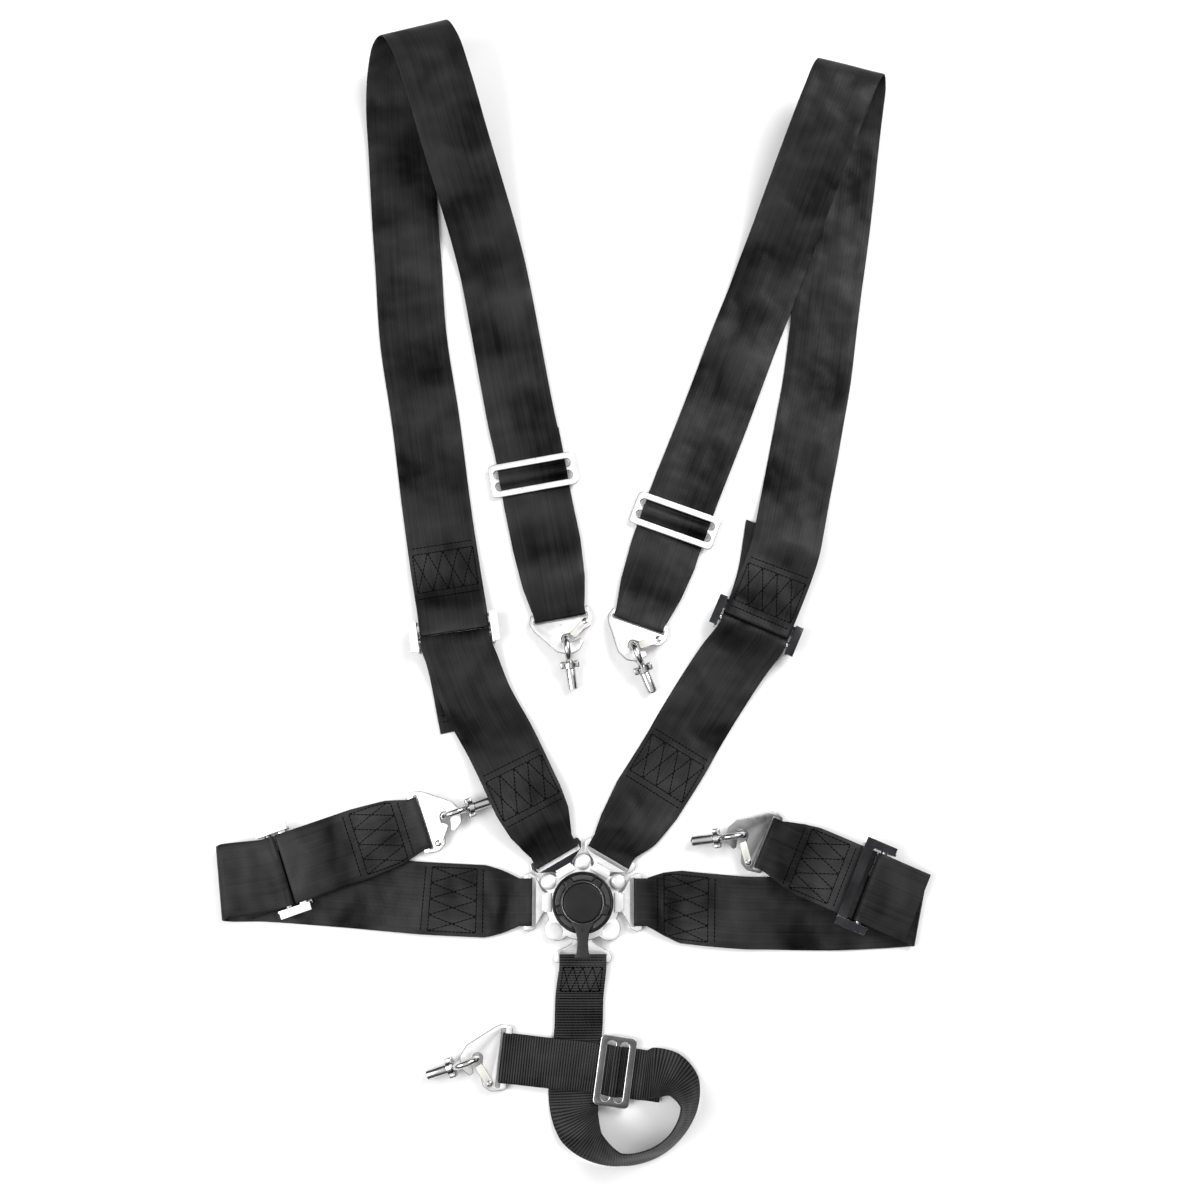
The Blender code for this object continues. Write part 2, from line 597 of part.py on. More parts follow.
def sewn_to_adjuster(place):
    """Turned-back end beneath, round the adjuster's fixed bar, and out along the top."""
    return ([near(place, FRAME_FROM - 0.0050, 0.0043)] + list(reversed(wrap(place, FIXED)))
            + [near(place, FRAME_FROM - 0.0100, 0.0090)])


def shoulder_lower_left():
    place = ADJUSTERS["shoulder_left"]
    tail = [key(-0.0835, 0.1590, 0.0060, 27, lean=-0.11), key(-0.0588, 0.1080, 0.0122, 27, lean=-0.15),
            key(-0.0465, 0.0840, 0.0078, 29, 0.070, -0.05)]
    main = [key(-0.0465, 0.0840, 0.0100, 29, 0.070, -0.05), key(-0.0588, 0.1080, 0.0144, 27, lean=-0.15),
            key(-0.0797, 0.1510, 0.0090, 27, lean=-0.11), key(-0.0908, 0.1726, 0.0060, 28, lean=-0.04),
            key(-0.1151, 0.2159, 0.0042, 27), key(-0.1310, 0.2560, 0.0095, 16)]
    turn = wrap(place, ROD)
    end = [key(-0.1325, 0.2560, 0.0028, 14), key(-0.1180, 0.1870, FLOOR_LAYER, 12)]
    return sewn_to_tongue("shoulder_left", tail, main) + turn + end


def shoulder_lower_right():
    place = ADJUSTERS["shoulder_right"]
    tail = [key(0.1000, 0.1570, FLOOR_LAYER, 148), key(0.0688, 0.1080, FLOOR_LAYER, 148),
            key(0.0480, 0.0760, 0.0022, 150, 0.066)]
    main = [key(0.0480, 0.0760, 0.0052, 150, 0.066), key(0.0688, 0.1080, FLOOR_LAYER + LAYER, 148),
            key(0.1000, 0.1570, FLOOR_LAYER + LAYER, 148), key(0.1150, 0.1830, 0.0016, 149),
            key(0.1355, 0.2163, 0.0020, 149), key(0.1632, 0.2580, 0.0100, 152)]
    over = wrap(place, ROD)[:4]
    under = [near(place, 0.0083, 0.0045), near(place, 0.0052, -0.0010),
             near(place, -0.0010, FLOOR_LAYER - 0.0030),
             near(place, -0.0400, FLOOR_LAYER - 0.0030, across=-0.0030),
             near(place, -0.1000, FLOOR_LAYER - 0.0030, across=-0.0170)]
    return sewn_to_tongue("shoulder_right", tail, main) + over + under


def shoulder_upper_left():
    place = ADJUSTERS["shoulder_left"]
    tail = [key(-0.1582, 0.3940, FLOOR_LAYER, 10), key(-0.1506, 0.3487, 0.0016, 10)]
    outer = [key(-0.1506, 0.3487, 0.0058, 10), key(-0.1582, 0.3940, FLOOR_LAYER + LAYER, 9),
             key(-0.1653, 0.4401, 0.0015, 8), key(-0.1782, 0.5323, FLOOR_LAYER, 8),
             key(-0.1936, 0.6261, FLOOR_LAYER, 7), key(-0.2015, 0.7193, 0.0015, 5),
             key(-0.2057, 0.7666, 0.0022, 4), key(-0.2115, 0.8500, 0.0045, 4)]
    loop = [key(-0.2150, 0.9050, 0.0110, 5, lean=0.02), key(-0.2125, 0.9480, 0.0240, 8, lean=0.04),
            key(-0.2050, 0.9730, 0.0420, 11, lean=0.04), key(-0.1930, 0.9760, 0.0590, 14, lean=0.02),
            key(-0.1790, 0.9530, 0.0670, 16), key(-0.1640, 0.9100, 0.0620, 16),
            key(-0.1460, 0.8500, 0.0430, 16), key(-0.1290, 0.7960, 0.0240, 15),
            key(-0.1150, 0.7500, 0.0100, 14), key(-0.1050, 0.7120, 0.0040, 13)]
    inner = [key(-0.0970, 0.6737, FLOOR_LAYER + LAYER, 12), key(-0.0702, 0.5323, FLOOR_LAYER + LAYER, 10.5)]
    reach = [key(-0.0410, 0.3890, FLOOR_LAYER + LAYER, 10.5), key(-0.0330, 0.3470, 0.0050, 11, 0.070)]
    back = [key(-0.0330, 0.3470, 0.0020, 11, 0.070), key(-0.0410, 0.3890, FLOOR_LAYER, 10.5)]
    turn = wrap(HOOKS["shoulder_left"][0], HOOK_WEB, HOOK_WIDTH)
    return through_slide(SLIDES["shoulder_left"], tail + sewn_to_adjuster(place) + outer + loop + inner,
                         reach + turn + back)


def shoulder_upper_right():
    place = ADJUSTERS["shoulder_right"]
    tail = [key(0.2310, 0.4150, FLOOR_LAYER + LAYER, -17),
            key(0.2150, 0.3600, FLOOR_LAYER + LAYER + 0.00035, -21)]
    outer = [key(0.2150, 0.3600, 0.0110, -21), key(0.2235, 0.3860, 0.0135, -19),
             key(0.2295, 0.4120, 0.0085, -15), key(0.2355, 0.4396, 0.0032, -12),
             key(0.2546, 0.5323, FLOOR_LAYER, -11), key(0.2635, 0.5790, 0.0013, -9),
             key(0.2765, 0.6722, 0.0030, -8), key(0.2908, 0.7666, 0.0060, -8),
             key(0.3010, 0.8500, 0.0105, -8)]
    loop = [key(0.3060, 0.8950, 0.0190, -9), key(0.3080, 0.9230, 0.0340, -12),
            key(0.3045, 0.9330, 0.0500, -15), key(0.2960, 0.9200, 0.0620, -18),
            key(0.2830, 0.8880, 0.0640, -20), key(0.2640, 0.8400, 0.0520, -21),
            key(0.2440, 0.7880, 0.0330, -21), key(0.2260, 0.7400, 0.0160, -21),
            key(0.2120, 0.7040, 0.0065, -21)]
    inner = [key(0.2005, 0.6730, 0.0034, -21), key(0.1817, 0.6261, FLOOR_LAYER + LAYER, -21),
             key(0.1465, 0.5323, FLOOR_LAYER + LAYER, -20.5)]
    reach = [key(0.0870, 0.3740, FLOOR_LAYER + LAYER, -20), key(0.0745, 0.3390, 0.0050, -19.5, 0.070)]
    back = [key(0.0745, 0.3390, 0.0020, -19.5, 0.070), key(0.0870, 0.3740, FLOOR_LAYER, -20)]
    turn = wrap(HOOKS["shoulder_right"][0], HOOK_WEB, HOOK_WIDTH)
    return through_slide(SLIDES["shoulder_right"], tail + sewn_to_adjuster(place) + outer + loop + inner,
                         reach + turn + back)


def lap_left():
    place = ADJUSTERS["lap_left"]
    tail = [key(-0.1700, 0.0042, FLOOR_LAYER, 86), key(-0.1050, 0.0010, FLOOR_LAYER, 90),
            key(-0.0860, 0.0005, 0.0022, 90, 0.066)]
    main = [key(-0.0860, 0.0005, 0.0052, 90, 0.066), key(-0.1050, 0.0010, FLOOR_LAYER + LAYER, 90),
            key(-0.1700, 0.0042, FLOOR_LAYER + LAYER, 86), key(-0.1960, 0.0063, 0.0016, 86),
            key(-0.2707, 0.0127, FLOOR_LAYER, 85.5), key(-0.3400, 0.0175, FLOOR_LAYER, 85.5)]
    back = fold((-0.3800, 0.0180, FLOOR_LAYER), 175.5, 18.9, 0.0072)
    end = [near(place, 0.0420, 0.0024), near(place, 0.0600, 0.0016)]
    return sewn_to_tongue("lap_left", tail, main) + back + wrap(place, ROD) + end


def lap_right():
    place = ADJUSTERS["lap_right"]
    tail = [key(0.1700, -0.0110, FLOOR_LAYER, 89), key(0.1050, -0.0050, FLOOR_LAYER, 88),
            key(0.0860, -0.0020, 0.0022, 90, 0.066)]
    main = [key(0.0860, -0.0020, 0.0052, 90, 0.066), key(0.1050, -0.0050, FLOOR_LAYER + LAYER, 88),
            key(0.1700, -0.0110, FLOOR_LAYER + LAYER, 89), key(0.1960, -0.0115, 0.0016, 89),
            key(0.2637, -0.0125, FLOOR_LAYER, 89), key(0.3180, -0.0105, FLOOR_LAYER, 88)]
    back = fold((0.3560, -0.0085, FLOOR_LAYER), -1.8, 156.9, 0.0036)
    end = [near(place, 0.0420, 0.0115), near(place, 0.0600, 0.0090), near(place, 0.0690, 0.0084)]
    return sewn_to_tongue("lap_right", tail, main) + back + list(reversed(wrap(place, ROD))) + end


def lap_anchor(name):
    """A short loop from the adjuster's fixed bar to the snap hook, both ends sewn beneath it."""
    place, hook = ADJUSTERS[name], HOOKS[name][0]
    gap = (hook.translation - place.translation).length
    middle = -gap * 0.52
    start = [near(place, middle, 0.0040), near(place, FRAME_FROM - 0.0160, 0.0038)]
    over = [near(place, middle, 0.0076), near(place, -gap + 0.0330, 0.0074, 0.070)]
    under = [near(place, -gap + 0.0330, 0.0030, 0.066), near(place, middle - 0.0030, 0.0040)]
    return (start + sewn_to_adjuster(place) + over + wrap(hook, HOOK_WEB, HOOK_WIDTH) + under)


def crotch():
    place = SLIDES["crotch"]
    wide = CROTCH_WIDTH
    tail = [key(-0.0045, -0.1290, FLOOR_LAYER, 180, wide), key(-0.0035, -0.0980, FLOOR_LAYER, 180, wide),
            key(-0.0015, -0.0800, 0.0022, 180, wide)]
    main = [key(-0.0015, -0.0800, 0.0052, 180, wide), key(-0.0035, -0.0980, FLOOR_LAYER + LAYER, 180, wide),
            key(-0.0045, -0.1290, FLOOR_LAYER + LAYER, 180, wide), key(-0.0065, -0.1500, 0.0014, 180, wide),
            key(-0.0105, -0.1880, 0.0014, 182, wide)]
    twist = [((-0.0095, -0.2080, 0.0019), (-0.99, -0.05, -0.03)),
             ((-0.0030, -0.2290, 0.0120), (-0.86, -0.25, -0.42)),
             ((0.0130, -0.2470, 0.0200), (-0.45, -0.50, -0.74)),
             ((0.0400, -0.2585, 0.0238), (-0.05, -0.40, -0.91)),
             ((0.0730, -0.2520, 0.0243), (0.20, -0.32, -0.92)),
             ((0.0980, -0.2330, 0.0243), (0.34, -0.14, -0.93)),
             ((0.1105, -0.2060, 0.0236), (0.42, 0.10, -0.90)),
             ((0.1050, -0.1860, 0.0215), (0.42, 0.50, -0.76)),
             ((0.0900, -0.1760, 0.0165), (0.22, 0.84, -0.50)),
             ((0.0730, -0.1745, 0.0110), (0.06, 0.97, -0.22))]
    loop = squared([(Vector(spot), Vector(side), wide) for spot, side in twist])
    hook = HOOKS["crotch"][0]
    turn = wrap(hook, HOOK_WEB, wide)
    reach = [near(hook, -0.0450, 0.0115, wide)]
    back = [near(hook, -0.0450, 0.0083, wide)]
    return through_slide(place, sewn_to_tongue("crotch", tail, main, wide) + loop, reach + turn + back, wide)


# ------------------------------------------------------------------ buckle
def ear_outline(grow=0.0, count=72):
    """The plan shape of base plate and housing: a disc with five round ears."""
    made = []
    ears = [(a, EAR_REACH, EAR_RADIUS) for a in EAR_ANGLES]
    ears += [(a, LOBE_REACH, LOBE_RADIUS) for a in LOBE_ANGLES]
    for i in range(count):
        angle = 2 * pi * i / count
        reach = BASE_RADIUS
        for ear, distance, radius in ears:
            off = abs((angle - radians(ear) + pi) % (2 * pi) - pi)
            if off < asin(radius / distance):
                reach = max(reach, distance * cos(off) + sqrt(radius ** 2 - (distance * sin(off)) ** 2))
        made.append(((reach + grow) * cos(angle), (reach + grow) * sin(angle)))
    return made


CAM_LOW = COVER_TOP + GAP
CAM_TOP = CAM_LOW + CAM_THICK
HEAD_LOW = CAM_TOP + GAP
HEAD_TOP = HEAD_LOW + PIN_HEAD_THICK
LEAF_LOW = HEAD_TOP + GAP + PIN_LIFT + 0.0020
KNOB_LOW = COVER_TOP + 2 * GAP
KNOB_FLOOR = LEAF_LOW + LEAF_THICK + GAP
KNOB_DISH = KNOB_FLOOR + KNOB_FLOOR_THICK
KNOB_INNER = KNOB_RADIUS - KNOB_WALL
SPIDER_LOW = KNOB_DISH + GAP


def pin_place(name):
    return frame(0, 0, 0, TONGUE_ANGLES[name]) @ Matrix.Translation((PIN_REACH, 0, 0))


def buckle_shell():
    plate("buckle_base_plate", [ear_outline()], 0, BASE_THICK, ZINC)
    holes = [circle(POST_RADIUS + GAP, 24)]
    for name in LATCHED:
        spot = pin_place(name).translation
        holes.append(circle(PIN_RADIUS + GAP, 14, spot.x, spot.y))
    housing = plate("buckle_housing", [ear_outline(-0.0003), *holes], COVER_LOW, COVER_THICK, CAST)
    posts = bmesh.new()
    ears = [(a, EAR_REACH, EAR_RADIUS, EAR_RISE) for a in EAR_ANGLES]
    ears += [(a, LOBE_BOSS_REACH, LOBE_BOSS_RADIUS, LOBE_RISE) for a in LOBE_ANGLES]
    for angle, reach, radius, rise in ears:
        x, y = reach * cos(radians(angle)), reach * sin(radians(angle))
        foot = BASE_THICK + GAP
        profile = [(radius - 0.0006, foot), (radius - 0.0006, COVER_TOP + rise * 0.35),
                   (radius * 0.80, COVER_TOP + rise * 0.75), (radius * 0.45, COVER_TOP + rise)]
        rings = [[posts.verts.new((*point, z)) for point in circle(r, POST_SIDES, x, y)] for r, z in profile]
        for low, high in zip(rings, rings[1:]):
            for i in range(POST_SIDES):
                after = (i + 1) % POST_SIDES
                posts.faces.new((low[i], low[after], high[after], high[i]))
        posts.faces.new(rings[0])
        posts.faces.new(rings[-1])
    combine(housing, posts, "UNION")
    lintels = bmesh.new()
    for name in TONGUE_ANGLES:
        if name == "crotch":
            continue
        turn = Matrix.Rotation(radians(TONGUE_ANGLES[name]), 4, "Z")
        middle = Matrix.Translation((LINTEL_REACH, 0, COVER_TOP - 0.0008 + LINTEL_SIZE[2] / 2))
        bmesh.ops.create_cube(lintels, size=1, matrix=turn @ middle @ Matrix.Diagonal((*LINTEL_SIZE, 1)))
    combine(housing, lintels, "UNION")


def cam_plate():
    """A flat ring with an arc slot and a ramp on each side of it for every pin."""
    steps = 72
    bands = (CAM_INNER, PIN_REACH - PIN_RADIUS - 0.0007, PIN_REACH + PIN_RADIUS + 0.0007, CAM_OUTER)
    head = asin((PIN_HEAD_RADIUS + GAP) / PIN_REACH)
    stem = asin((PIN_RADIUS + 0.0008) / PIN_REACH)
    rise = PIN_LIFT / KNOB_TURN

    def behind(angle, pin):
        return (radians(pin) - angle + pi) % (2 * pi) - pi

    def height(angle):
        lifts = [(behind(angle, TONGUE_ANGLES[n]) - head) * rise for n in LATCHED]
        lifts = [lift for lift in lifts if 0 < lift <= PIN_LIFT + 1e-9]
        return CAM_TOP + max(lifts, default=0)

    def cut(step):
        middle = 2 * pi * (step + 0.5) / steps
        return any(-stem < behind(middle, TONGUE_ANGLES[n]) < KNOB_TURN + stem for n in LATCHED)

    shape = bmesh.new()
    verts = {}
    for step in range(steps):
        angle = 2 * pi * step / steps
        for band, radius in enumerate(bands):
            for level, z in enumerate((CAM_LOW, height(angle))):
                verts[step, band, level] = shape.verts.new((radius * cos(angle), radius * sin(angle), z))

    def solid(step, band):
        return 0 <= band < 3 and not (band == 1 and cut(step % steps))

    for step in range(steps):
        after = (step + 1) % steps
        for band in range(3):
            if not solid(step, band):
                continue
            for level in (0, 1):
                shape.faces.new([verts[step, band, level], verts[after, band, level],
                                 verts[after, band + 1, level], verts[step, band + 1, level]])
            for edge, beyond in ((band, band - 1), (band + 1, band + 1)):
                if not solid(step, beyond):
                    shape.faces.new([verts[step, edge, 0], verts[after, edge, 0],
                                     verts[after, edge, 1], verts[step, edge, 1]])
            if not solid(step - 1, band):
                shape.faces.new([verts[step, band, 0], verts[step, band + 1, 0],
                                 verts[step, band + 1, 1], verts[step, band, 1]])
            if not solid(step + 1, band):
                shape.faces.new([verts[after, band, 0], verts[after, band + 1, 0],
                                 verts[after, band + 1, 1], verts[after, band, 1]])
    loose = [v for v in shape.verts if not v.link_faces]
    bmesh.ops.delete(shape, geom=loose, context="VERTS")
    finish("cam_plate", mesh_from("cam_plate", shape), STEEL)


def lock_parts():
    for name in LATCHED:
        turned(f"locking_pin_{name}",
               [(0, TONGUE_LOW), (PIN_RADIUS, TONGUE_LOW), (PIN_RADIUS, HEAD_LOW),
                (PIN_HEAD_RADIUS, HEAD_LOW), (PIN_HEAD_RADIUS, HEAD_TOP), (0, HEAD_TOP)],
               STEEL, pin_place(name), 16)
    foot, shoulder, top = BASE_THICK + GAP, LEAF_LOW - GAP, LEAF_LOW + LEAF_THICK
    turned("centre_post", [(0, foot), (POST_RADIUS, foot), (POST_RADIUS, shoulder), (POST_NECK, shoulder),
                           (POST_NECK, top), (0, top)], STEEL, None, 20)
    bore = POST_NECK + GAP
    leaf = turned("pin_leaf_spring", [(bore, LEAF_LOW), (LEAF_HUB, LEAF_LOW), (LEAF_HUB, top), (bore, top)],
                  STEEL, None, 20)
    tip = Vector((PIN_REACH + 0.0030, 0, HEAD_TOP + GAP + LEAF_THICK))
    root = Vector((LEAF_HUB - 0.0013, 0, LEAF_LOW + LEAF_THICK / 2))
    along = tip - root
    slope = atan2(-along.z, along.x)
    for name in LATCHED:
        finger = bmesh.new()
        middle = Matrix.Translation((tip + root) / 2) @ Matrix.Rotation(slope, 4, "Y")
        size = Matrix.Diagonal((along.length, LEAF_WIDTH, LEAF_THICK * 0.94, 1))
        turn = Matrix.Rotation(radians(TONGUE_ANGLES[name]), 4, "Z")
        bmesh.ops.create_cube(finger, size=1, matrix=turn @ middle @ size)
        combine(leaf, finger, "UNION")
    coil = bpy.data.curves.new("return_spring", "CURVE")
    coil.dimensions = "3D"
    coil.bevel_depth = SPRING_WIRE
    coil.bevel_resolution = 0
    coil.use_fill_caps = True
    spline = coil.splines.new("POLY")
    count = SPRING_TURNS * 12
    pitch = 2 * SPRING_WIRE + 0.0002
    spline.points.add(count)
    for i, point in enumerate(spline.points):
        angle = 2 * pi * i / 12
        point.co = (SPRING_RADIUS * cos(angle), SPRING_RADIUS * sin(angle),
                    COVER_TOP + GAP + SPRING_WIRE + pitch * i / 12, 1)
    finish("return_spring", coil, STEEL)


def knob_parts():
    rim = KNOB_DISH + KNOB_RIM_RISE
    dish = turned("rotary_knob",
                  [(0, KNOB_FLOOR), (KNOB_INNER, KNOB_FLOOR), (KNOB_INNER, KNOB_LOW),
                   (KNOB_RADIUS - 0.0006, KNOB_LOW), (KNOB_RADIUS, KNOB_LOW + 0.0010),
                   (KNOB_RADIUS, rim - 0.0014), (KNOB_RADIUS - 0.0012, rim), (KNOB_INNER + 0.0002, rim),
                   (KNOB_INNER, rim - 0.0006), (KNOB_INNER, KNOB_DISH), (0, KNOB_DISH)],
                  KNOB, None, 36)
    notch = bmesh.new()
    box_body(notch, (-LEVER_HALF - 2 * GAP, -KNOB_RADIUS - 0.002, KNOB_DISH),
             (LEVER_HALF + 2 * GAP, -KNOB_INNER + 0.004, rim + 0.002))
    combine(dish, notch, "DIFFERENCE")

    outline = []
    ring = SPIDER_RING
    for spoke in range(5):
        middle = 270 + 72 * spoke
        stem = spoke == 0
        half, reach = (LEVER_HALF, LEVER_LENGTH) if stem else (SPOKE_HALF, SPOKE_REACH)
        turn = radians(middle)
        along, across = Vector((cos(turn), sin(turn))), Vector((-sin(turn), cos(turn)))
        shape = [(ring * 0.985, -half * 1.35), (ring + 0.003, -half), (reach - 0.006, -half),
                 (reach, -half * 1.18 if stem else -half), (reach, half * 1.18 if stem else half),
                 (reach - 0.006, half), (ring + 0.003, half), (ring * 0.985, half * 1.35)]
        if not stem:
            shape = [shape[0], shape[1], shape[3], shape[4], shape[6], shape[7]]
        outline += [tuple(along * x + across * y) for x, y in shape]
        span = asin(half * 1.35 / ring)
        for j in range(1, 5):
            angle = turn + span + (radians(72) - span - asin(SPOKE_HALF * 1.35 / ring)) * j / 5
            outline.append((ring * cos(angle), ring * sin(angle)))
    plate("release_lever", [outline, circle(CAP_RADIUS + GAP, 40)], SPIDER_LOW, SPIDER_THICK, KNOB)
    turned("knob_centre_cap", [(0, SPIDER_LOW), (CAP_RADIUS, SPIDER_LOW),
                               (CAP_RADIUS, SPIDER_LOW + CAP_THICK * 0.72),
                               (CAP_RADIUS - 0.0010, SPIDER_LOW + CAP_THICK * 0.95),
                               (0, SPIDER_LOW + CAP_THICK)], CAP, None, 32)


# ------------------------------------------------------------------ assembly
TONGUE_LOOKS = {"shoulder_left": DARK, "shoulder_right": ZINC, "lap_left": ZINC, "lap_right": ZINC,
                "crotch": ZINC}
HOOK_LOOKS = {"shoulder_left": ZINC, "shoulder_right": ZINC, "lap_left": ZINC, "lap_right": DARK,
              "crotch": ZINC}
ADJUSTER_LOOKS = {"shoulder_left": ZINC, "shoulder_right": DARK, "lap_left": ZINC, "lap_right": DARK}

buckle_shell()
cam_plate()
lock_parts()
knob_parts()
for side, angle in TONGUE_ANGLES.items():
    tongue(side, angle, TONGUE_LOOKS[side])
for side, place in ADJUSTERS.items():
    adjuster(side, place, BRIDGE_UP[side], ADJUSTER_LOOKS[side])
three_bar_slide("slide_shoulder_left", SLIDES["shoulder_left"], BELT_WIDTH, ZINC)
three_bar_slide("slide_shoulder_right", SLIDES["shoulder_right"], BELT_WIDTH, ZINC)
three_bar_slide("slide_crotch", SLIDES["crotch"], CROTCH_WIDTH, DARK)
for side, (place, hand, heading) in HOOKS.items():
    snap_hook(side, place, hand, HOOK_LOOKS[side])
    eye_bolt(side, place, hand, heading)
strap("strap_shoulder_lower_left", shoulder_lower_left())
strap("strap_shoulder_lower_right", shoulder_lower_right())
strap("strap_shoulder_upper_left", shoulder_upper_left())
strap("strap_shoulder_upper_right", shoulder_upper_right())
strap("strap_lap_left", lap_left())
strap("strap_lap_right", lap_right())
strap("strap_lap_anchor_left", lap_anchor("lap_left"))
strap("strap_lap_anchor_right", lap_anchor("lap_right"))
strap("strap_crotch", crotch(), CROTCH)
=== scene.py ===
import bpy
import json
from math import asin, atan2, ceil, cos, pi, radians, sin, sqrt, tan
from mathutils import Matrix, Vector, noise

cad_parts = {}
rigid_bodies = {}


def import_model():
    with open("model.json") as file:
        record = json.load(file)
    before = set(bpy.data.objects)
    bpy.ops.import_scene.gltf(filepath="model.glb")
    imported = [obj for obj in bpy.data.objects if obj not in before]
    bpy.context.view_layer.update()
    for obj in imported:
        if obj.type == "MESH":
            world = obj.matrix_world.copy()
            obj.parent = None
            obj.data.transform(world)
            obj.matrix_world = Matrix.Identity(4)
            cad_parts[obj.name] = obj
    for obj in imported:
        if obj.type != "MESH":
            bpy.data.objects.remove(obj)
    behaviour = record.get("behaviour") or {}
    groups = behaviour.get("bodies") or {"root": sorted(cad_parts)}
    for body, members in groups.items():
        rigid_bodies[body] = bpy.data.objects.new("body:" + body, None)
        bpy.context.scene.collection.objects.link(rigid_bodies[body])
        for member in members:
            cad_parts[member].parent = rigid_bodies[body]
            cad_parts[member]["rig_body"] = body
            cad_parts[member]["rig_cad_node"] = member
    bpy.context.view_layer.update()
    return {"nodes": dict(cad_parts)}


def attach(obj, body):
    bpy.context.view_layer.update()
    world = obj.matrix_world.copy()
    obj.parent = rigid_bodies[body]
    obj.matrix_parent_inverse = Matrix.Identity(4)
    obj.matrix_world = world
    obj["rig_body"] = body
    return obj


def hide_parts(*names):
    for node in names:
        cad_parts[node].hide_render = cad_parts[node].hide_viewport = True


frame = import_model()


def started(name, maker, **settings):
    """A fresh object, named, and alone in the selection."""
    bpy.ops.object.select_all(action="DESELECT")
    maker(**settings)
    bpy.context.object.name = name
    return bpy.context.object


def polyline(curve, places):
    """Adds straight pieces through the places to a curve."""
    cut = curve.splines.new("POLY")
    cut.points.add(len(places) - 1)
    for point, place in zip(cut.points, places):
        point.co = (*place, 1)
    return cut


def feed(tree, node, **inputs):
    """Sets a node's inputs: each takes a plain value, or the output that feeds it."""
    for name, value in inputs.items():
        socket = node.inputs[name.replace("_", " ")]
        if isinstance(value, bpy.types.NodeSocket):
            tree.links.new(value, socket)
        else:
            socket.default_value = value


def shader(tree, kind, output, **inputs):
    """A new shader node, given its inputs; returns the output asked for."""
    made = tree.nodes.new(f"ShaderNode{kind}")
    feed(tree, made, **inputs)
    return made.outputs[output]


def tone_ramp(tree, source, low, high, low_at=0.0, high_at=1.0):
    """A tone that runs from low to high as its source rises."""
    made = tree.nodes.new("ShaderNodeValToRGB")
    stops = made.color_ramp.elements
    stops[0].position, stops[0].color = low_at, (*low, 1)
    stops[1].position, stops[1].color = high_at, (*high, 1)
    feed(tree, made, Fac=source)
    return made.outputs["Color"]


def new_material(name):
    """A material with its node tree and its surface node."""
    made = bpy.data.materials.new(name)
    made.use_nodes = True
    return made, made.node_tree, made.node_tree.nodes["Principled BSDF"]


def polar(reach, angle):
    """X and Y of a place at a distance and an angle in degrees."""
    return reach * cos(radians(angle)), reach * sin(radians(angle))


def edges_rounded(piece, width, segments, angle):
    """Rounds every edge of a piece that is sharper than the angle in degrees."""
    ease = piece.modifiers.new("eased", "BEVEL")
    ease.width = width
    ease.segments = segments
    ease.limit_method = "ANGLE"
    ease.angle_limit = radians(angle)
    bpy.ops.object.modifier_apply(modifier="eased")


# ---------------------------------------------------------------- the studio
# The harness lies on a plain white floor under one wide overhead softbox. Two more stand at the upper
# right and the left, so that raised cloth catches light and faint shadows fall down and to the left.
FLOOR_DROP = 0.0006  # so that nothing of the harness shares a plane with the paper
floor = started("studio_floor", bpy.ops.mesh.primitive_plane_add, size=9)
bpy.ops.object.mode_set(mode="EDIT")
bpy.ops.mesh.subdivide(number_cuts=3)
bpy.ops.transform.translate(value=(0, 0.3, -FLOOR_DROP))
bpy.ops.object.mode_set(mode="OBJECT")
paper, tree, skin = new_material("studio_paper")
paper_mottle = shader(tree, "TexNoise", "Fac", Vector=shader(tree, "TexCoord", "Object"), Scale=3.0)
feed(tree, skin, Base_Color=tone_ramp(tree, paper_mottle, (0.92, 0.92, 0.92), (0.94, 0.94, 0.94)),
     Roughness=0.95, Specular_IOR_Level=0.1)
floor.data.materials.append(paper)

for lamp_name, spot, aim, size, power in (("overhead_softbox", (0.0, 0.2, 2.9), (0.0, 0.2, 0), 3.4, 20),
                                          ("upper_right_softbox", (1.8, 1.9, 2.1), (0.0, 0.2, 0), 1.9, 92),
                                          ("left_softbox", (-2.0, -0.3, 2.0), (0.0, 0.1, 0), 1.9, 66)):
    bpy.ops.object.light_add(type="AREA", location=spot)
    lamp = bpy.context.object
    lamp.name = lamp_name
    lamp.data.size = size
    lamp.data.energy = power
    lamp.rotation_euler = (Vector(aim) - Vector(spot)).to_track_quat("-Z", "Y").to_euler()

world = bpy.data.worlds.new("white_room")
world.use_nodes = True
bpy.context.scene.world = world
room = world.node_tree
sky_height = shader(room, "SeparateXYZ", "Z", Vector=shader(room, "TexCoord", "Generated"))
feed(room, room.nodes["Background"], Strength=0.42,
     Color=tone_ramp(room, sky_height, (0.06, 0.06, 0.065), (1.0, 1.0, 1.0), 0.45, 0.88))

CAMERA_AT, CAMERA_TILT, LENS, SENSOR = (0.0182, 0.0618, 1.636), 9.22, 45, 36
bpy.ops.object.camera_add(location=CAMERA_AT, rotation=(radians(CAMERA_TILT), 0, 0))
camera = bpy.context.object
camera.data.lens = LENS
camera.data.sensor_width = SENSOR
bpy.context.scene.camera = camera
bpy.context.scene.view_settings.view_transform = "Standard"


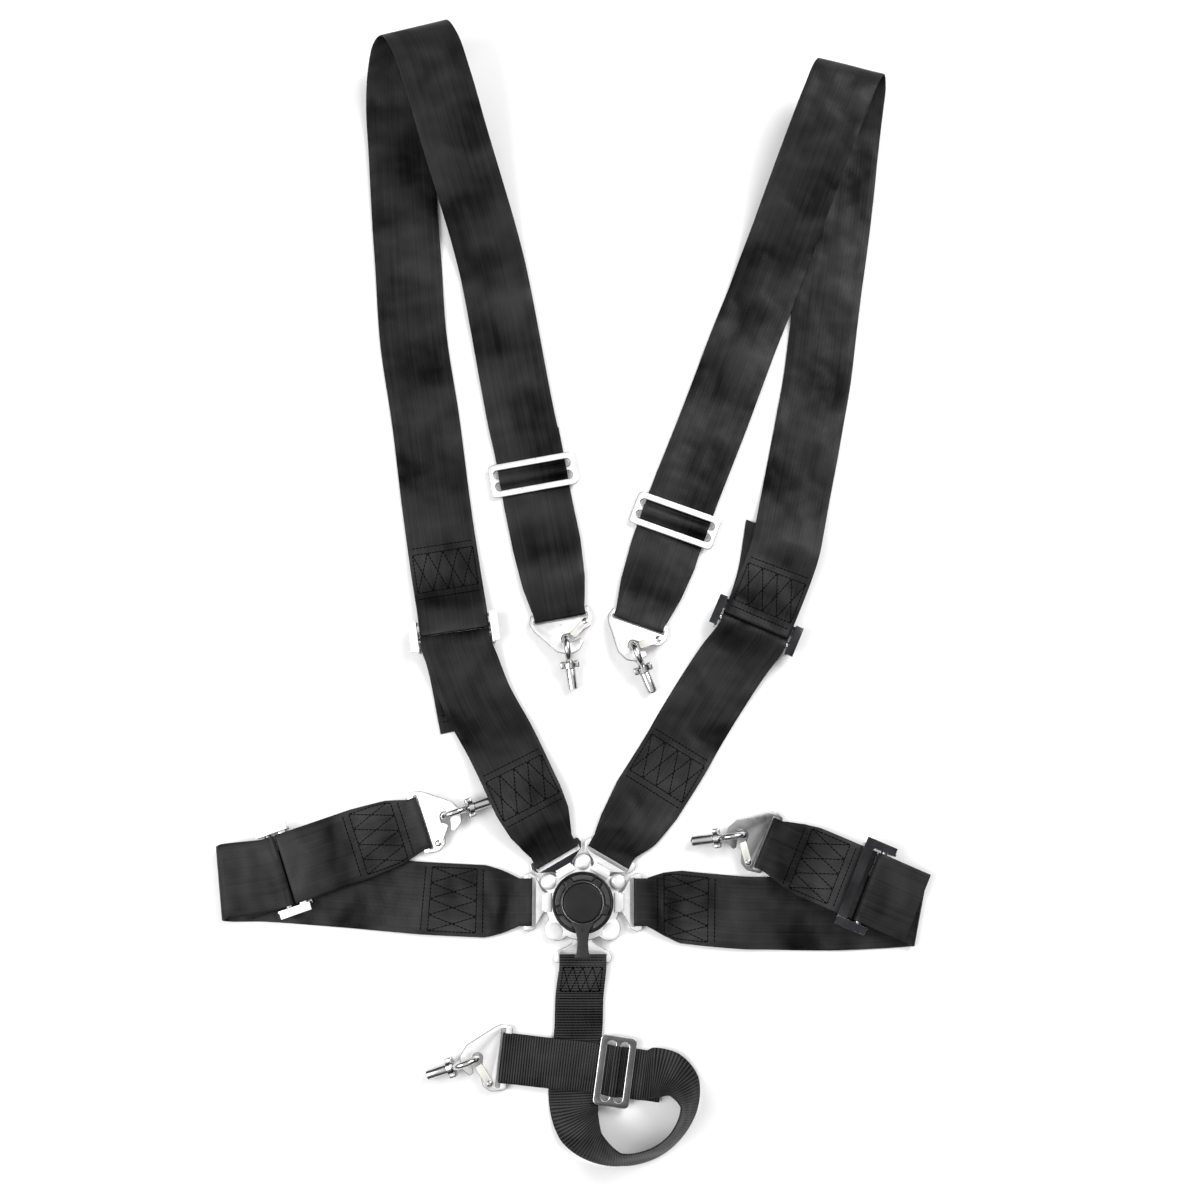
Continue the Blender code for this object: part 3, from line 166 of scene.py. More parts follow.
# ---------------------------------------------------------------- the webbing
# Three-inch polyester webbing for the shoulders and laps, and ribbed two-inch nylon for the crotch,
# each length folded round its bars, sewn back on itself with black thread and laid out loosely.
GAP = 0.0003
BELT_WIDTH = 0.0762
CROTCH_WIDTH = 0.0508
WEB_THICK = 0.0015
CHORD = 1.09
FLOOR_LAYER = WEB_THICK / 2 + GAP
LAYER = WEB_THICK + GAP
SECOND_LAYER = FLOOR_LAYER + LAYER
WEAVE_STEP, WEAVE_COLUMNS = 0.0032, 10
SELVEDGE, SELVEDGE_CLEAR = 0.0005, 0.0025
CROWN, SWELL, SWELL_PITCH = 0.0026, 0.0024, 19
HELD_WITHIN, CROWN_FROM, SWELL_FROM = 0.014, (0.008, 0.022), (0.045, 0.085)
THREAD, STITCH, STITCH_LEAD, STITCH_FILL = 0.00050, 0.0042, 0.13, 0.74
SUNK, PROUD = -0.0003, 0.00014
SEAM_MARGIN, ROW_GAP, HEM_GAP, BOX_COLUMNS = 0.0045, 0.0072, 0.0035, 4
TONGUE_LOW, TONGUE_THICK = 0.0027, 0.0025
TONGUE_TOP = TONGUE_LOW + TONGUE_THICK
BAR_NEAR, BAR_WIDTH, TONGUE_SLOT_HALF, EJECT = 0.0560, 0.0070, 0.0270, 0.0040
TONGUE_ANGLES = {"shoulder_right": 60, "shoulder_left": 120, "lap_left": 180, "lap_right": 0, "crotch": 270}
HOOK_THICK, HOOK_BAR, HOOK_SLOT_HALF, HOOK_PITCH = 0.0030, (-0.0090, -0.0025), 0.0300, 13
SLIDE_THICK, SLIDE_SLOT, SLIDE_BAR = 0.0030, 0.0092, 0.0048
SLIDE_LOW = FLOOR_LAYER + WEB_THICK / 2 + LAYER + GAP
FIXED_BAR, FIXED_BAR_THICK, FIXED_LOW, FIXED_BULGE = (-0.0035, 0.0035), 0.0030, 0.0055, 0.0030
ROD_RADIUS, ROD_AT, ROD_UP, ROD_TRAVEL = 0.0035, 0.0150, 0.0095, 0.0040
FRAME_FROM = -0.0080


def fitting(x, y, z, heading, pitch=0.0):
    """A place on the floor plan: +X along the heading, tilted up by the pitch."""
    return (Matrix.Translation((x, y, z)) @ Matrix.Rotation(radians(heading), 4, "Z")
            @ Matrix.Rotation(-radians(pitch), 4, "Y"))


def key(x, y, z, side, width=BELT_WIDTH, lean=0.0):
    """A point on a strap's middle line; side is the plan angle of its right edge, lean lifts that edge."""
    return Vector((x, y, z)), Vector((cos(radians(side)), sin(radians(side)), lean)), width


def raised(keys, *heights):
    """The same keys in the other order and at new heights, for the layer that lies on them."""
    return [(Vector((*spot.xy, up)), side, width)
            for (spot, side, width), up in zip(reversed(keys), heights)]


def near(place, along, up, width=BELT_WIDTH, across=0.0):
    """A point on a strap's middle line, in a fitting's own frame."""
    return place @ Vector((along, across, up)), place.to_3x3() @ Vector((0, 1, 0)), width


def wrap(place, bar, width=BELT_WIDTH):
    """Keys that carry webbing over a bar's top, round its near side and back beneath it."""
    near_side, far_side, low, high, corner = bar
    toward = 1 if far_side > near_side else -1
    reach = GAP + WEB_THICK / 2 + corner * CHORD
    made = [near(place, far_side, high - corner + reach, width)]
    for centre, first in ((high - corner, 90), (low + corner, 180)):
        for turn in (0, 45, 90):
            angle = radians(first + turn)
            made.append(near(place, near_side + toward * (corner + reach * cos(angle)),
                             centre + reach * sin(angle), width))
    if high - low <= 2 * corner + 1e-9:
        made.pop(3)
    made.append(near(place, far_side, low + corner - reach, width))
    return made


def fold(start, heading_in, heading_out, radius, width=BELT_WIDTH):
    """Keys of webbing folded back over itself: it rolls up and over a slanted fold line."""
    going = Vector((cos(radians(heading_in)), sin(radians(heading_in)), 0))
    leaving = Vector((cos(radians(heading_out)), sin(radians(heading_out)), 0))
    line = (going + leaving).normalized()
    out = (going - line * going.dot(line)).normalized()
    made = []
    for turn in range(0, 181, 30):
        angle = radians(turn)
        spot = (Vector(start) + out * radius * sin(angle) + Vector((0, 0, radius * (1 - cos(angle))))
                + line * radius * angle * going.dot(line) / going.dot(out))
        made.append((spot, line, width / going.dot(out)))
    return made


def smooth_route(keys, step):
    """Points on a centripetal Catmull-Rom curve through the keys, with side and width blended."""
    spots = [k[0] for k in keys]
    made = []
    for i in range(len(keys) - 1):
        here, there = spots[i], spots[i + 1]
        before = spots[i - 1] if i else here * 2 - there
        after = spots[i + 2] if i + 2 < len(keys) else there * 2 - here
        spans = ((before, here), (here, there), (there, after))
        a, b, c = [max(sqrt((q - p).length), 1e-6) for p, q in spans]
        leave = ((here - before) / a - (there - before) / (a + b) + (there - here) / b) * b
        arrive = ((there - here) / b - (after - here) / (b + c) + (after - there) / c) * b
        count = max(1, ceil((there - here).length / step))
        for j in range(count + (i == len(keys) - 2)):
            t = j / count
            spot = (here * (2 * t ** 3 - 3 * t ** 2 + 1) + leave * (t ** 3 - 2 * t ** 2 + t)
                    + there * (3 * t ** 2 - 2 * t ** 3) + arrive * (t ** 3 - t ** 2))
            side = keys[i][1].normalized().lerp(keys[i + 1][1].normalized(), t)
            made.append((spot, side, keys[i][2] * (1 - t) + keys[i + 1][2] * t))
    return made


def one_handed(keys):
    """The same keys with every side on the same edge of the strap."""
    made = [keys[0]]
    for spot, side, width in keys[1:]:
        made.append((spot, side if side.dot(made[-1][1]) >= 0 else -side, width))
    return made


def squared(keys):
    """The same keys with every inner side turned square to the way its neighbours run."""
    made = [keys[0]]
    for before, (spot, side, width), after in zip(keys, keys[1:], keys[2:]):
        along = (after[0] - before[0]).normalized()
        made.append((spot, (side - along * side.dot(along)).normalized(), width))
    return made + [keys[-1]]


def eased_between(value, low, high):
    """0 below low, 1 above high, and a smooth step between."""
    t = min(max((value - low) / (high - low), 0), 1)
    return t * t * (3 - 2 * t)


def cloth_point(station, across):
    """A point of the cloth's middle: it crowns where it is gathered, and swells off the floor where free."""
    spot, side, width, _, _, gathered = station
    place = spot + side * across
    clear = min((place.xy - held.xy).length for held in HELD_AT)
    wave = noise.noise(Vector((place.x, place.y, 0)) * SWELL_PITCH)
    swell = SWELL * eased_between(clear, *SWELL_FROM) * max(0, wave + 0.1)
    return place + Vector((0, 0, swell + gathered * (1 - (2 * across / width) ** 2)))


def lay(name, keys, cut_width, cloth):
    """Weaves one length along its route, as a closed band with rounded selvedges; returns its stations."""
    line = smooth_route(one_handed(keys), WEAVE_STEP)
    runs = [0.0]
    for here, there in zip(line, line[1:]):
        runs.append(runs[-1] + (there[0] - here[0]).length)
    band = started(name, bpy.ops.mesh.primitive_grid_add, x_subdivisions=len(line) - 1,
                   y_subdivisions=WEAVE_COLUMNS, size=2)
    web = band.data.uv_layers.active.data
    held_runs = [run for run, here in zip(runs, line)
                 if min((here[0] - held).length for held in HELD_AT) < HELD_WITHIN]
    narrow = min(here[2] for here in line)
    stations = []
    for i, (spot, side, width) in enumerate(line):
        ahead = line[min(i + 1, len(line) - 1)][0] - line[max(i - 1, 0)][0]
        share = min((width - narrow) / max(cut_width - narrow, 0.004), 1)
        clear = min(abs(runs[i] - held) for held in held_runs)
        gathered = 4 * CROWN * share * (1 - share) * eased_between(clear, *CROWN_FROM)
        side = side.normalized()
        stations.append((spot, side, width, side.cross(ahead).normalized(), runs[i], gathered))
    measures = {}
    for vert in band.data.vertices:
        station = stations[round((vert.co.x + 1) / 2 * (len(line) - 1))]
        across = vert.co.y / 2 * station[2]
        measures[vert.index] = (station[4], across)
        vert.co = cloth_point(station, across)
    for loop in band.data.loops:
        web[loop.index].uv = measures[loop.vertex_index]
    thicken = band.modifiers.new("thickness", "SOLIDIFY")
    thicken.thickness = WEB_THICK
    thicken.offset = 0
    bpy.ops.object.modifier_apply(modifier="thickness")
    edges_rounded(band, SELVEDGE, 2, 60)
    bpy.ops.object.shade_smooth_by_angle(angle=radians(50))
    band.data.materials.append(cloth)
    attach(band, "harness")
    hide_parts(name.replace("webbing", "strap"))
    return stations


def on_webbing(stations, run, across, lift):
    """A point on the upper face of a length of webbing."""
    for here, there in zip(stations, stations[1:]):
        if run <= there[4]:
            break
    t = min(max((run - here[4]) / max(there[4] - here[4], 1e-9), 0), 1)
    margin = min(here[2], there[2]) / 2 - SELVEDGE_CLEAR
    across = min(max(across, -margin), margin)
    up = here[3].lerp(there[3], t).normalized()
    up = up if up.z > 0 else -up
    return cloth_point(here, across).lerp(cloth_point(there, across), t) + up * (WEB_THICK / 2 + lift)


def top_run(stations, x, y):
    """How far along a length its uppermost layer passes a place on the floor plan."""
    near_by = [s for s in stations if (s[0].xy - Vector((x, y))).length < 0.012]
    return max(near_by, key=lambda s: s[0].z)[4]


def stitches(name, stations, seams):
    """Sews each seam, a list of (run, across) corners, with separate sunk stitches of thread."""
    sewing = started(name, bpy.ops.curve.primitive_nurbs_path_add)
    sewing.data.splines.clear()
    sewing.data.bevel_depth = THREAD
    sewing.data.bevel_resolution = 1
    sewing.data.use_fill_caps = True
    for seam in seams:
        for (run_a, across_a), (run_b, across_b) in zip(seam, seam[1:]):
            length = sqrt((run_b - run_a) ** 2 + (across_b - across_a) ** 2)
            count = max(1, round(length / STITCH))
            for i in range(count):
                shares = [(i + STITCH_LEAD + STITCH_FILL * share) / count for share in (0, 0.25, 0.75, 1)]
                polyline(sewing.data, [on_webbing(stations, run_a + (run_b - run_a) * t,
                                                  across_a + (across_b - across_a) * t, lift)
                                       for t, lift in zip(shares, (SUNK, PROUD, PROUD, SUNK))])
    bpy.ops.object.convert(target="MESH")
    bpy.ops.object.shade_smooth()
    sewing = bpy.context.object
    sewing.data.materials.append(thread)
    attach(sewing, "harness")


def box_seams(middle, length, width):
    """A sewn box: double rows at both ends, a line down each edge, and zigzags crossing between them."""
    half, reach = length / 2, width / 2 - SEAM_MARGIN
    inner = half - ROW_GAP
    seams = [[(middle + s, -reach), (middle + s, reach)] for s in (-half, -inner, inner, half)]
    seams += [[(middle - inner, e), (middle + inner, e)] for e in (-reach, reach)]
    for start in (-1, 1):
        seams.append([(middle + inner * start * (1 if k % 2 else -1), -reach + 2 * reach * k / BOX_COLUMNS)
                      for k in range(BOX_COLUMNS + 1)])
    return seams


def hem_seams(middle, width):
    """Two rows across a hemmed end."""
    reach = width / 2 - SEAM_MARGIN
    return [[(middle + s, -reach), (middle + s, reach)] for s in (-HEM_GAP, HEM_GAP)]


def webbing_cloth(name, dark, light, rib_across, rib_along, weave_share, roughness):
    """Woven cloth on the band's own lengthwise and crosswise measure, in metres."""
    cloth, tree, skin = new_material(name)
    measure = tree.nodes.new("ShaderNodeUVMap")
    measure.uv_map = "UVMap"
    measure = measure.outputs["UV"]

    def sums(operation, first, second, third=None):
        node = tree.nodes.new("ShaderNodeMath")
        node.operation = operation
        for socket, value in zip(node.inputs, (first, second, third)):
            if isinstance(value, (int, float)):
                socket.default_value = value
            elif value is not None:
                tree.links.new(value, socket)
        return node.outputs[0]

    def wave(source, period):
        return sums("MULTIPLY_ADD", sums("SINE", sums("MULTIPLY", source, 2 * pi / period), 0), 0.5, 0.5)

    along = shader(tree, "SeparateXYZ", "X", Vector=measure)
    across = shader(tree, "SeparateXYZ", "Y", Vector=measure)
    ribs = wave(across, rib_across[0])
    picks = wave(along, rib_along[0])
    slant = wave(sums("MULTIPLY_ADD", across, 0.55, along), 0.0021)
    weave = sums("ADD", sums("MULTIPLY", ribs, rib_across[1]), sums("MULTIPLY", picks, rib_along[1]))
    weave = sums("MULTIPLY_ADD", slant, 0.25, weave)

    def mottle(scale, stretch, detail):
        shift = shader(tree, "Mapping", "Vector", Vector=measure, Scale=stretch)
        return shader(tree, "TexNoise", "Fac", Vector=shift, Scale=scale, Detail=detail)

    patches = mottle(16, (1.0, 0.8, 1.0), 2)
    ridges = mottle(15, (1.0, 0.12, 1.0), 1)
    crease_relief_and_painted_sheen = sums("MULTIPLY_ADD", ridges, 0.6, patches)
    streaks = mottle(60, (0.12, 4.0, 1.0), 3)
    fibres = mottle(900, (1.0, 1.0, 1.0), 2)
    # The crease noise also lightens the base colour: painted sheen on raised creases and patches, beside the
    # real weave, streak and fibre tones.
    tone = sums("MULTIPLY_ADD", streaks, 0.35, sums("MULTIPLY", crease_relief_and_painted_sheen, 1.35))
    tone = sums("MULTIPLY_ADD", weave, weave_share, tone)
    tone = sums("MULTIPLY_ADD", fibres, 0.20, sums("SUBTRACT", tone, 0.61 + 0.75 * weave_share))
    soft = shader(tree, "Bump", "Normal", Height=crease_relief_and_painted_sheen, Strength=1.0, Distance=0.014)
    fine = shader(tree, "Bump", "Normal", Height=sums("MULTIPLY_ADD", fibres, 0.30, weave), Normal=soft,
                  Strength=0.60, Distance=0.0003)
    feed(tree, skin, Base_Color=tone_ramp(tree, tone, dark, light, 0.44), Normal=fine,
         Roughness=sums("MULTIPLY_ADD", streaks, 0.16, roughness - 0.08), Specular_IOR_Level=0.12)
    return cloth


# Where the adjusters, slides and hooks lie, and the bars that the webbing goes round.
LAP_LIFT = WEB_THICK + 0.0007  # the lap adjusters lie on the lower layer of their strap
ADJUSTERS = {
    "shoulder_left": fitting(-0.1422, 0.2993, 0, -81.6),
    "shoulder_right": fitting(0.1920, 0.3046, 0.0030, -113.3),
    "lap_left": fitting(-0.3100, 0.0370, LAP_LIFT, 198.9),
    "lap_right": fitting(0.2924, 0.0209, LAP_LIFT, -23.1),
}
SLIDES = {
    "shoulder_left": fitting(-0.0567, 0.4680, 0, -79.5),
    "shoulder_right": fitting(0.1016, 0.4160, 0, -110.0),
    "crotch": fitting(0.0339, -0.1736, LAP_LIFT, 172.0),
}
HOOKS = {
    "shoulder_left": (fitting(-0.0252, 0.3050, 0.0060, -79.0, HOOK_PITCH), 1, -81.8),
    "shoulder_right": (fitting(0.0597, 0.2985, 0.0060, -109.5, HOOK_PITCH), 1, -67.0),
    "lap_left": (fitting(-0.1708, 0.0846, 0.0060, 18.9, HOOK_PITCH), -1, 19.0),
    "lap_right": (fitting(0.1939, 0.0634, 0.0060, 156.9, HOOK_PITCH), 1, 187.0),
    "crotch": (fitting(-0.0866, -0.1600, 0.0060, 174.0, HOOK_PITCH), 1, 199.0),
}
TONGUE_BAR = (BAR_NEAR, BAR_NEAR + BAR_WIDTH, TONGUE_LOW, TONGUE_TOP, 0.0)
FIXED = (FIXED_BAR[1] + FIXED_BULGE, FIXED_BAR[0], FIXED_LOW, FIXED_LOW + FIXED_BAR_THICK, 0.0)
ROD = (ROD_AT - ROD_RADIUS, ROD_AT + ROD_TRAVEL + ROD_RADIUS, ROD_UP - ROD_RADIUS, ROD_UP + ROD_RADIUS,
       ROD_RADIUS)
HOOK_WEB = (HOOK_BAR[1], HOOK_BAR[0] - 0.0018, -HOOK_THICK / 2, HOOK_THICK / 2, 0.0)
TONGUE_WEB = 2 * TONGUE_SLOT_HALF - 0.0040
HOOK_WIDTH = 2 * HOOK_SLOT_HALF - 0.0030


def tongue_eye(name, width=BELT_WIDTH):
    """The sewn eye at a tongue, from the turned-back end beneath to the single layer on top."""
    place = fitting(0, 0, 0, TONGUE_ANGLES[name])
    pinched = min(TONGUE_WEB, width)
    slack = BAR_NEAR + BAR_WIDTH + EJECT + 0.0010
    bar = (TONGUE_BAR[0], slack, *TONGUE_BAR[2:])
    return list(reversed(wrap(place, bar, pinched)))


def over_bar(place, reach, width):
    """Keys over the top of a slide's middle bar, square round both of its upper corners."""
    bar, deck = SLIDE_BAR / 2, SLIDE_LOW + SLIDE_THICK
    bend = reach * cos(pi / 4)
    points = [(-bar - reach, deck), (-bar - bend, deck + bend), (-bar, deck + reach),
              (bar, deck + reach), (bar + bend, deck + bend), (bar + reach, deck)]
    return [near(place, x, z, width) for x, z in points]


def through_slide(place, keys_in, keys_out, width=BELT_WIDTH):
    """Main layer up one slot, over the middle bar and down the other, with the returned layer inside."""
    low = FLOOR_LAYER
    inside = (GAP + WEB_THICK / 2) * CHORD
    dip = SLIDE_BAR / 2 + SLIDE_SLOT - 0.0010
    slim = SLIDE_BAR / 2 + inside + 0.0045
    main = ([near(place, -0.030, low + LAYER, width), near(place, -dip, low + LAYER, width)]
            + over_bar(place, inside + LAYER, width)
            + [near(place, dip, low + LAYER, width), near(place, 0.030, low + LAYER, width)])
    back = ([near(place, 0.030, low, width), near(place, slim, low, width)]
            + list(reversed(over_bar(place, inside, width)))
            + [near(place, -slim, low, width), near(place, -0.030, low, width),
               near(place, -0.050, low, width)])
    return keys_in + main + keys_out + back


def sewn_to_tongue(name, tail, main, width=BELT_WIDTH):
    """Turned-back end, tongue eye and the first stretch of the main layer."""
    return tail + tongue_eye(name, width) + main


def sewn_to_adjuster(place):
    """Turned-back end beneath, round the adjuster's fixed bar, and out along the top."""
    return ([near(place, FRAME_FROM - 0.0050, 0.0043)] + list(reversed(wrap(place, FIXED)))
            + [near(place, FRAME_FROM - 0.0100, 0.0090)])


def shoulder_lower_left():
    place = ADJUSTERS["shoulder_left"]
    tail = [key(-0.0835, 0.1590, 0.0060, 27, lean=-0.11), key(-0.0588, 0.1080, 0.0122, 27, lean=-0.15),
            key(-0.0465, 0.0840, 0.0078, 29, 0.070, -0.05)]
    main = raised(tail[1:], 0.0100, 0.0144)
    main += [key(-0.0797, 0.1510, 0.0090, 27, lean=-0.11), key(-0.0908, 0.1726, 0.0060, 28, lean=-0.04),
             key(-0.1151, 0.2159, 0.0042, 27), key(-0.1310, 0.2560, 0.0095, 16)]
    turn = wrap(place, ROD)
    end = [key(-0.1325, 0.2560, 0.0028, 14), key(-0.1180, 0.1870, FLOOR_LAYER, 12)]
    return sewn_to_tongue("shoulder_left", tail, main) + turn + end


def shoulder_lower_right():
    place = ADJUSTERS["shoulder_right"]
    tail = [key(0.1000, 0.1570, FLOOR_LAYER, 148), key(0.0688, 0.1080, FLOOR_LAYER, 148),
            key(0.0480, 0.0760, 0.0022, 150, 0.066)]
    main = raised(tail, 0.0052, SECOND_LAYER, SECOND_LAYER)
    main += [key(0.1150, 0.1830, 0.0016, 149), key(0.1355, 0.2163, 0.0020, 149),
             key(0.1632, 0.2580, 0.0100, 152)]
    over = wrap(place, ROD)[:4]
    under = [near(place, 0.0083, 0.0045), near(place, 0.0052, -0.0010),
             near(place, -0.0010, FLOOR_LAYER - 0.0030),
             near(place, -0.0400, FLOOR_LAYER - 0.0030, across=-0.0030),
             near(place, -0.1000, FLOOR_LAYER - 0.0030, across=-0.0170)]
    return sewn_to_tongue("shoulder_right", tail, main) + over + under


def shoulder_upper_left():
    place = ADJUSTERS["shoulder_left"]
    tail = [key(-0.1582, 0.3940, FLOOR_LAYER, 10), key(-0.1506, 0.3487, 0.0016, 10)]
    outer = [key(-0.1506, 0.3487, 0.0058, 10), key(-0.1582, 0.3940, SECOND_LAYER, 9),
             key(-0.1653, 0.4401, 0.0015, 8), key(-0.1782, 0.5323, FLOOR_LAYER, 8),
             key(-0.1936, 0.6261, FLOOR_LAYER, 7), key(-0.2015, 0.7193, 0.0015, 5),
             key(-0.2057, 0.7666, 0.0022, 4), key(-0.2115, 0.8500, 0.0045, 4)]
    loop = [key(-0.2150, 0.9050, 0.0110, 5, lean=0.02), key(-0.2125, 0.9480, 0.0240, 8, lean=0.04),
            key(-0.2050, 0.9730, 0.0420, 11, lean=0.04), key(-0.1930, 0.9760, 0.0590, 14, lean=0.02),
            key(-0.1790, 0.9530, 0.0670, 16), key(-0.1640, 0.9100, 0.0620, 16),
            key(-0.1460, 0.8500, 0.0430, 16), key(-0.1290, 0.7960, 0.0240, 15),
            key(-0.1150, 0.7500, 0.0100, 14), key(-0.1050, 0.7120, 0.0040, 13)]
    inner = [key(-0.0970, 0.6737, SECOND_LAYER, 12), key(-0.0702, 0.5323, SECOND_LAYER, 10.5)]
    reach = [key(-0.0410, 0.3890, SECOND_LAYER, 10.5), key(-0.0330, 0.3470, 0.0050, 11, 0.070)]
    back = raised(reach, 0.0020, FLOOR_LAYER)
    turn = wrap(HOOKS["shoulder_left"][0], HOOK_WEB, HOOK_WIDTH)
    return through_slide(SLIDES["shoulder_left"], tail + sewn_to_adjuster(place) + outer + loop + inner,
                         reach + turn + back)


def shoulder_upper_right():
    place = ADJUSTERS["shoulder_right"]
    tail = [key(0.2310, 0.4150, SECOND_LAYER, -17),
            key(0.2150, 0.3600, SECOND_LAYER + 0.00035, -21)]
    outer = [key(0.2150, 0.3600, 0.0110, -21), key(0.2235, 0.3860, 0.0135, -19),
             key(0.2295, 0.4120, 0.0085, -15), key(0.2355, 0.4396, 0.0032, -12),
             key(0.2546, 0.5323, FLOOR_LAYER, -11), key(0.2635, 0.5790, 0.0013, -9),
             key(0.2765, 0.6722, 0.0030, -8), key(0.2908, 0.7666, 0.0060, -8),
             key(0.3010, 0.8500, 0.0105, -8)]
    loop = [key(0.3060, 0.8950, 0.0190, -9), key(0.3080, 0.9230, 0.0340, -12),
            key(0.3045, 0.9330, 0.0500, -15), key(0.2960, 0.9200, 0.0620, -18),
            key(0.2830, 0.8880, 0.0640, -20), key(0.2640, 0.8400, 0.0520, -21),
            key(0.2440, 0.7880, 0.0330, -21), key(0.2260, 0.7400, 0.0160, -21),
            key(0.2120, 0.7040, 0.0065, -21)]
    inner = [key(0.2005, 0.6730, 0.0034, -21), key(0.1817, 0.6261, SECOND_LAYER, -21),
             key(0.1465, 0.5323, SECOND_LAYER, -20.5)]
    reach = [key(0.0870, 0.3740, SECOND_LAYER, -20), key(0.0745, 0.3390, 0.0050, -19.5, 0.070)]
    back = raised(reach, 0.0020, FLOOR_LAYER)
    turn = wrap(HOOKS["shoulder_right"][0], HOOK_WEB, HOOK_WIDTH)
    return through_slide(SLIDES["shoulder_right"], tail + sewn_to_adjuster(place) + outer + loop + inner,
                         reach + turn + back)


def lap_left():
    place = ADJUSTERS["lap_left"]
    tail = [key(-0.1700, 0.0042, FLOOR_LAYER, 86), key(-0.1050, 0.0010, FLOOR_LAYER, 90),
            key(-0.0860, 0.0005, 0.0022, 90, 0.066)]
    main = raised(tail, 0.0052, SECOND_LAYER, SECOND_LAYER)
    main += [key(-0.1960, 0.0063, 0.0016, 86), key(-0.2707, 0.0127, FLOOR_LAYER, 85.5),
             key(-0.3400, 0.0175, FLOOR_LAYER, 85.5)]
    back = fold((-0.3800, 0.0180, FLOOR_LAYER), 175.5, 18.9, 0.0072)
    end = [near(place, 0.0420, 0.0024), near(place, 0.0600, 0.0016)]
    return sewn_to_tongue("lap_left", tail, main) + back + wrap(place, ROD) + end


def lap_right():
    place = ADJUSTERS["lap_right"]
    tail = [key(0.1700, -0.0110, FLOOR_LAYER, 89), key(0.1050, -0.0050, FLOOR_LAYER, 88),
            key(0.0860, -0.0020, 0.0022, 90, 0.066)]
    main = raised(tail, 0.0052, SECOND_LAYER, SECOND_LAYER)
    main += [key(0.1960, -0.0115, 0.0016, 89), key(0.2637, -0.0125, FLOOR_LAYER, 89),
             key(0.3180, -0.0105, FLOOR_LAYER, 88)]
    back = fold((0.3560, -0.0085, FLOOR_LAYER), -1.8, 156.9, 0.0036)
    end = [near(place, 0.0420, 0.0115), near(place, 0.0600, 0.0090), near(place, 0.0690, 0.0084)]
    return sewn_to_tongue("lap_right", tail, main) + back + list(reversed(wrap(place, ROD))) + end


def lap_anchor(name):
    """A short loop from the adjuster's fixed bar to the snap hook, both ends sewn beneath it."""
    place, hook = ADJUSTERS[name], HOOKS[name][0]
    gap = (hook.translation - place.translation).length
    middle = -gap * 0.52
    start = [near(place, middle, 0.0040), near(place, FRAME_FROM - 0.0160, 0.0038)]
    over = [near(place, middle, 0.0076), near(place, -gap + 0.0330, 0.0074, 0.070)]
    under = [near(place, -gap + 0.0330, 0.0030, 0.066), near(place, middle - 0.0030, 0.0040)]
    return start + sewn_to_adjuster(place) + over + wrap(hook, HOOK_WEB, HOOK_WIDTH) + under


def crotch():
    place = SLIDES["crotch"]
    wide = CROTCH_WIDTH
    tail = [key(-0.0045, -0.1290, FLOOR_LAYER, 180, wide), key(-0.0035, -0.0980, FLOOR_LAYER, 180, wide),
            key(-0.0015, -0.0800, 0.0022, 180, wide)]
    main = raised(tail, 0.0052, SECOND_LAYER, SECOND_LAYER)
    main += [key(-0.0065, -0.1500, 0.0014, 180, wide), key(-0.0105, -0.1880, 0.0014, 182, wide)]
    twist = [((-0.0095, -0.2080, 0.0019), (-0.99, -0.05, -0.03)),
             ((-0.0030, -0.2290, 0.0120), (-0.86, -0.25, -0.42)),
             ((0.0130, -0.2470, 0.0200), (-0.45, -0.50, -0.74)),
             ((0.0400, -0.2585, 0.0238), (-0.05, -0.40, -0.91)),
             ((0.0730, -0.2520, 0.0243), (0.20, -0.32, -0.92)),
             ((0.0980, -0.2330, 0.0243), (0.34, -0.14, -0.93)),
             ((0.1105, -0.2060, 0.0236), (0.42, 0.10, -0.90)),
             ((0.1050, -0.1860, 0.0215), (0.42, 0.50, -0.76)),
             ((0.0900, -0.1760, 0.0165), (0.22, 0.84, -0.50)),
             ((0.0730, -0.1745, 0.0110), (0.06, 0.97, -0.22))]
    loop = squared([(Vector(spot), Vector(side), wide) for spot, side in twist])
    hook = HOOKS["crotch"][0]
    turn = wrap(hook, HOOK_WEB, wide)
    reach = [near(hook, -0.0450, 0.0115, wide)]
    back = [near(hook, -0.0450, 0.0083, wide)]
    return through_slide(place, sewn_to_tongue("crotch", tail, main, wide) + loop, reach + turn + back, wide)


belt_cloth = webbing_cloth("belt_cloth", (0.0008, 0.0008, 0.0009), (0.030, 0.030, 0.031),
                           (0.0038, 0.22), (0.0013, 0.45), 0.18, 0.34)
crotch_cloth = webbing_cloth("crotch_cloth", (0.0006, 0.0006, 0.0007), (0.036, 0.036, 0.037),
                             (0.0016, 0.10), (0.0027, 1.0), 0.85, 0.46)
thread, tree, skin = new_material("black_thread")
thread_twist = shader(tree, "TexNoise", "Fac", Vector=shader(tree, "TexCoord", "Object"), Scale=2500)
feed(tree, skin, Base_Color=(0.0008, 0.0008, 0.0008, 1), Roughness=0.85, Specular_IOR_Level=0.02,
     Normal=shader(tree, "Bump", "Normal", Height=thread_twist, Distance=0.0001))

HELD_AT = [fitting(0, 0, 0, angle) @ Vector((BAR_NEAR + BAR_WIDTH / 2, 0, TONGUE_LOW))
           for angle in TONGUE_ANGLES.values()]
HELD_AT += [place @ Vector((x, 0, z)) for place in ADJUSTERS.values()
            for x, z in ((0, FIXED_LOW), (ROD_AT, ROD_UP))]
HELD_AT += [place @ Vector((0, 0, SLIDE_LOW)) for place in SLIDES.values()]
HELD_AT += [place @ Vector((HOOK_BAR[0], 0, 0)) for place, _, _ in HOOKS.values()]
HEM_AT = (-0.1195, 0.1930)
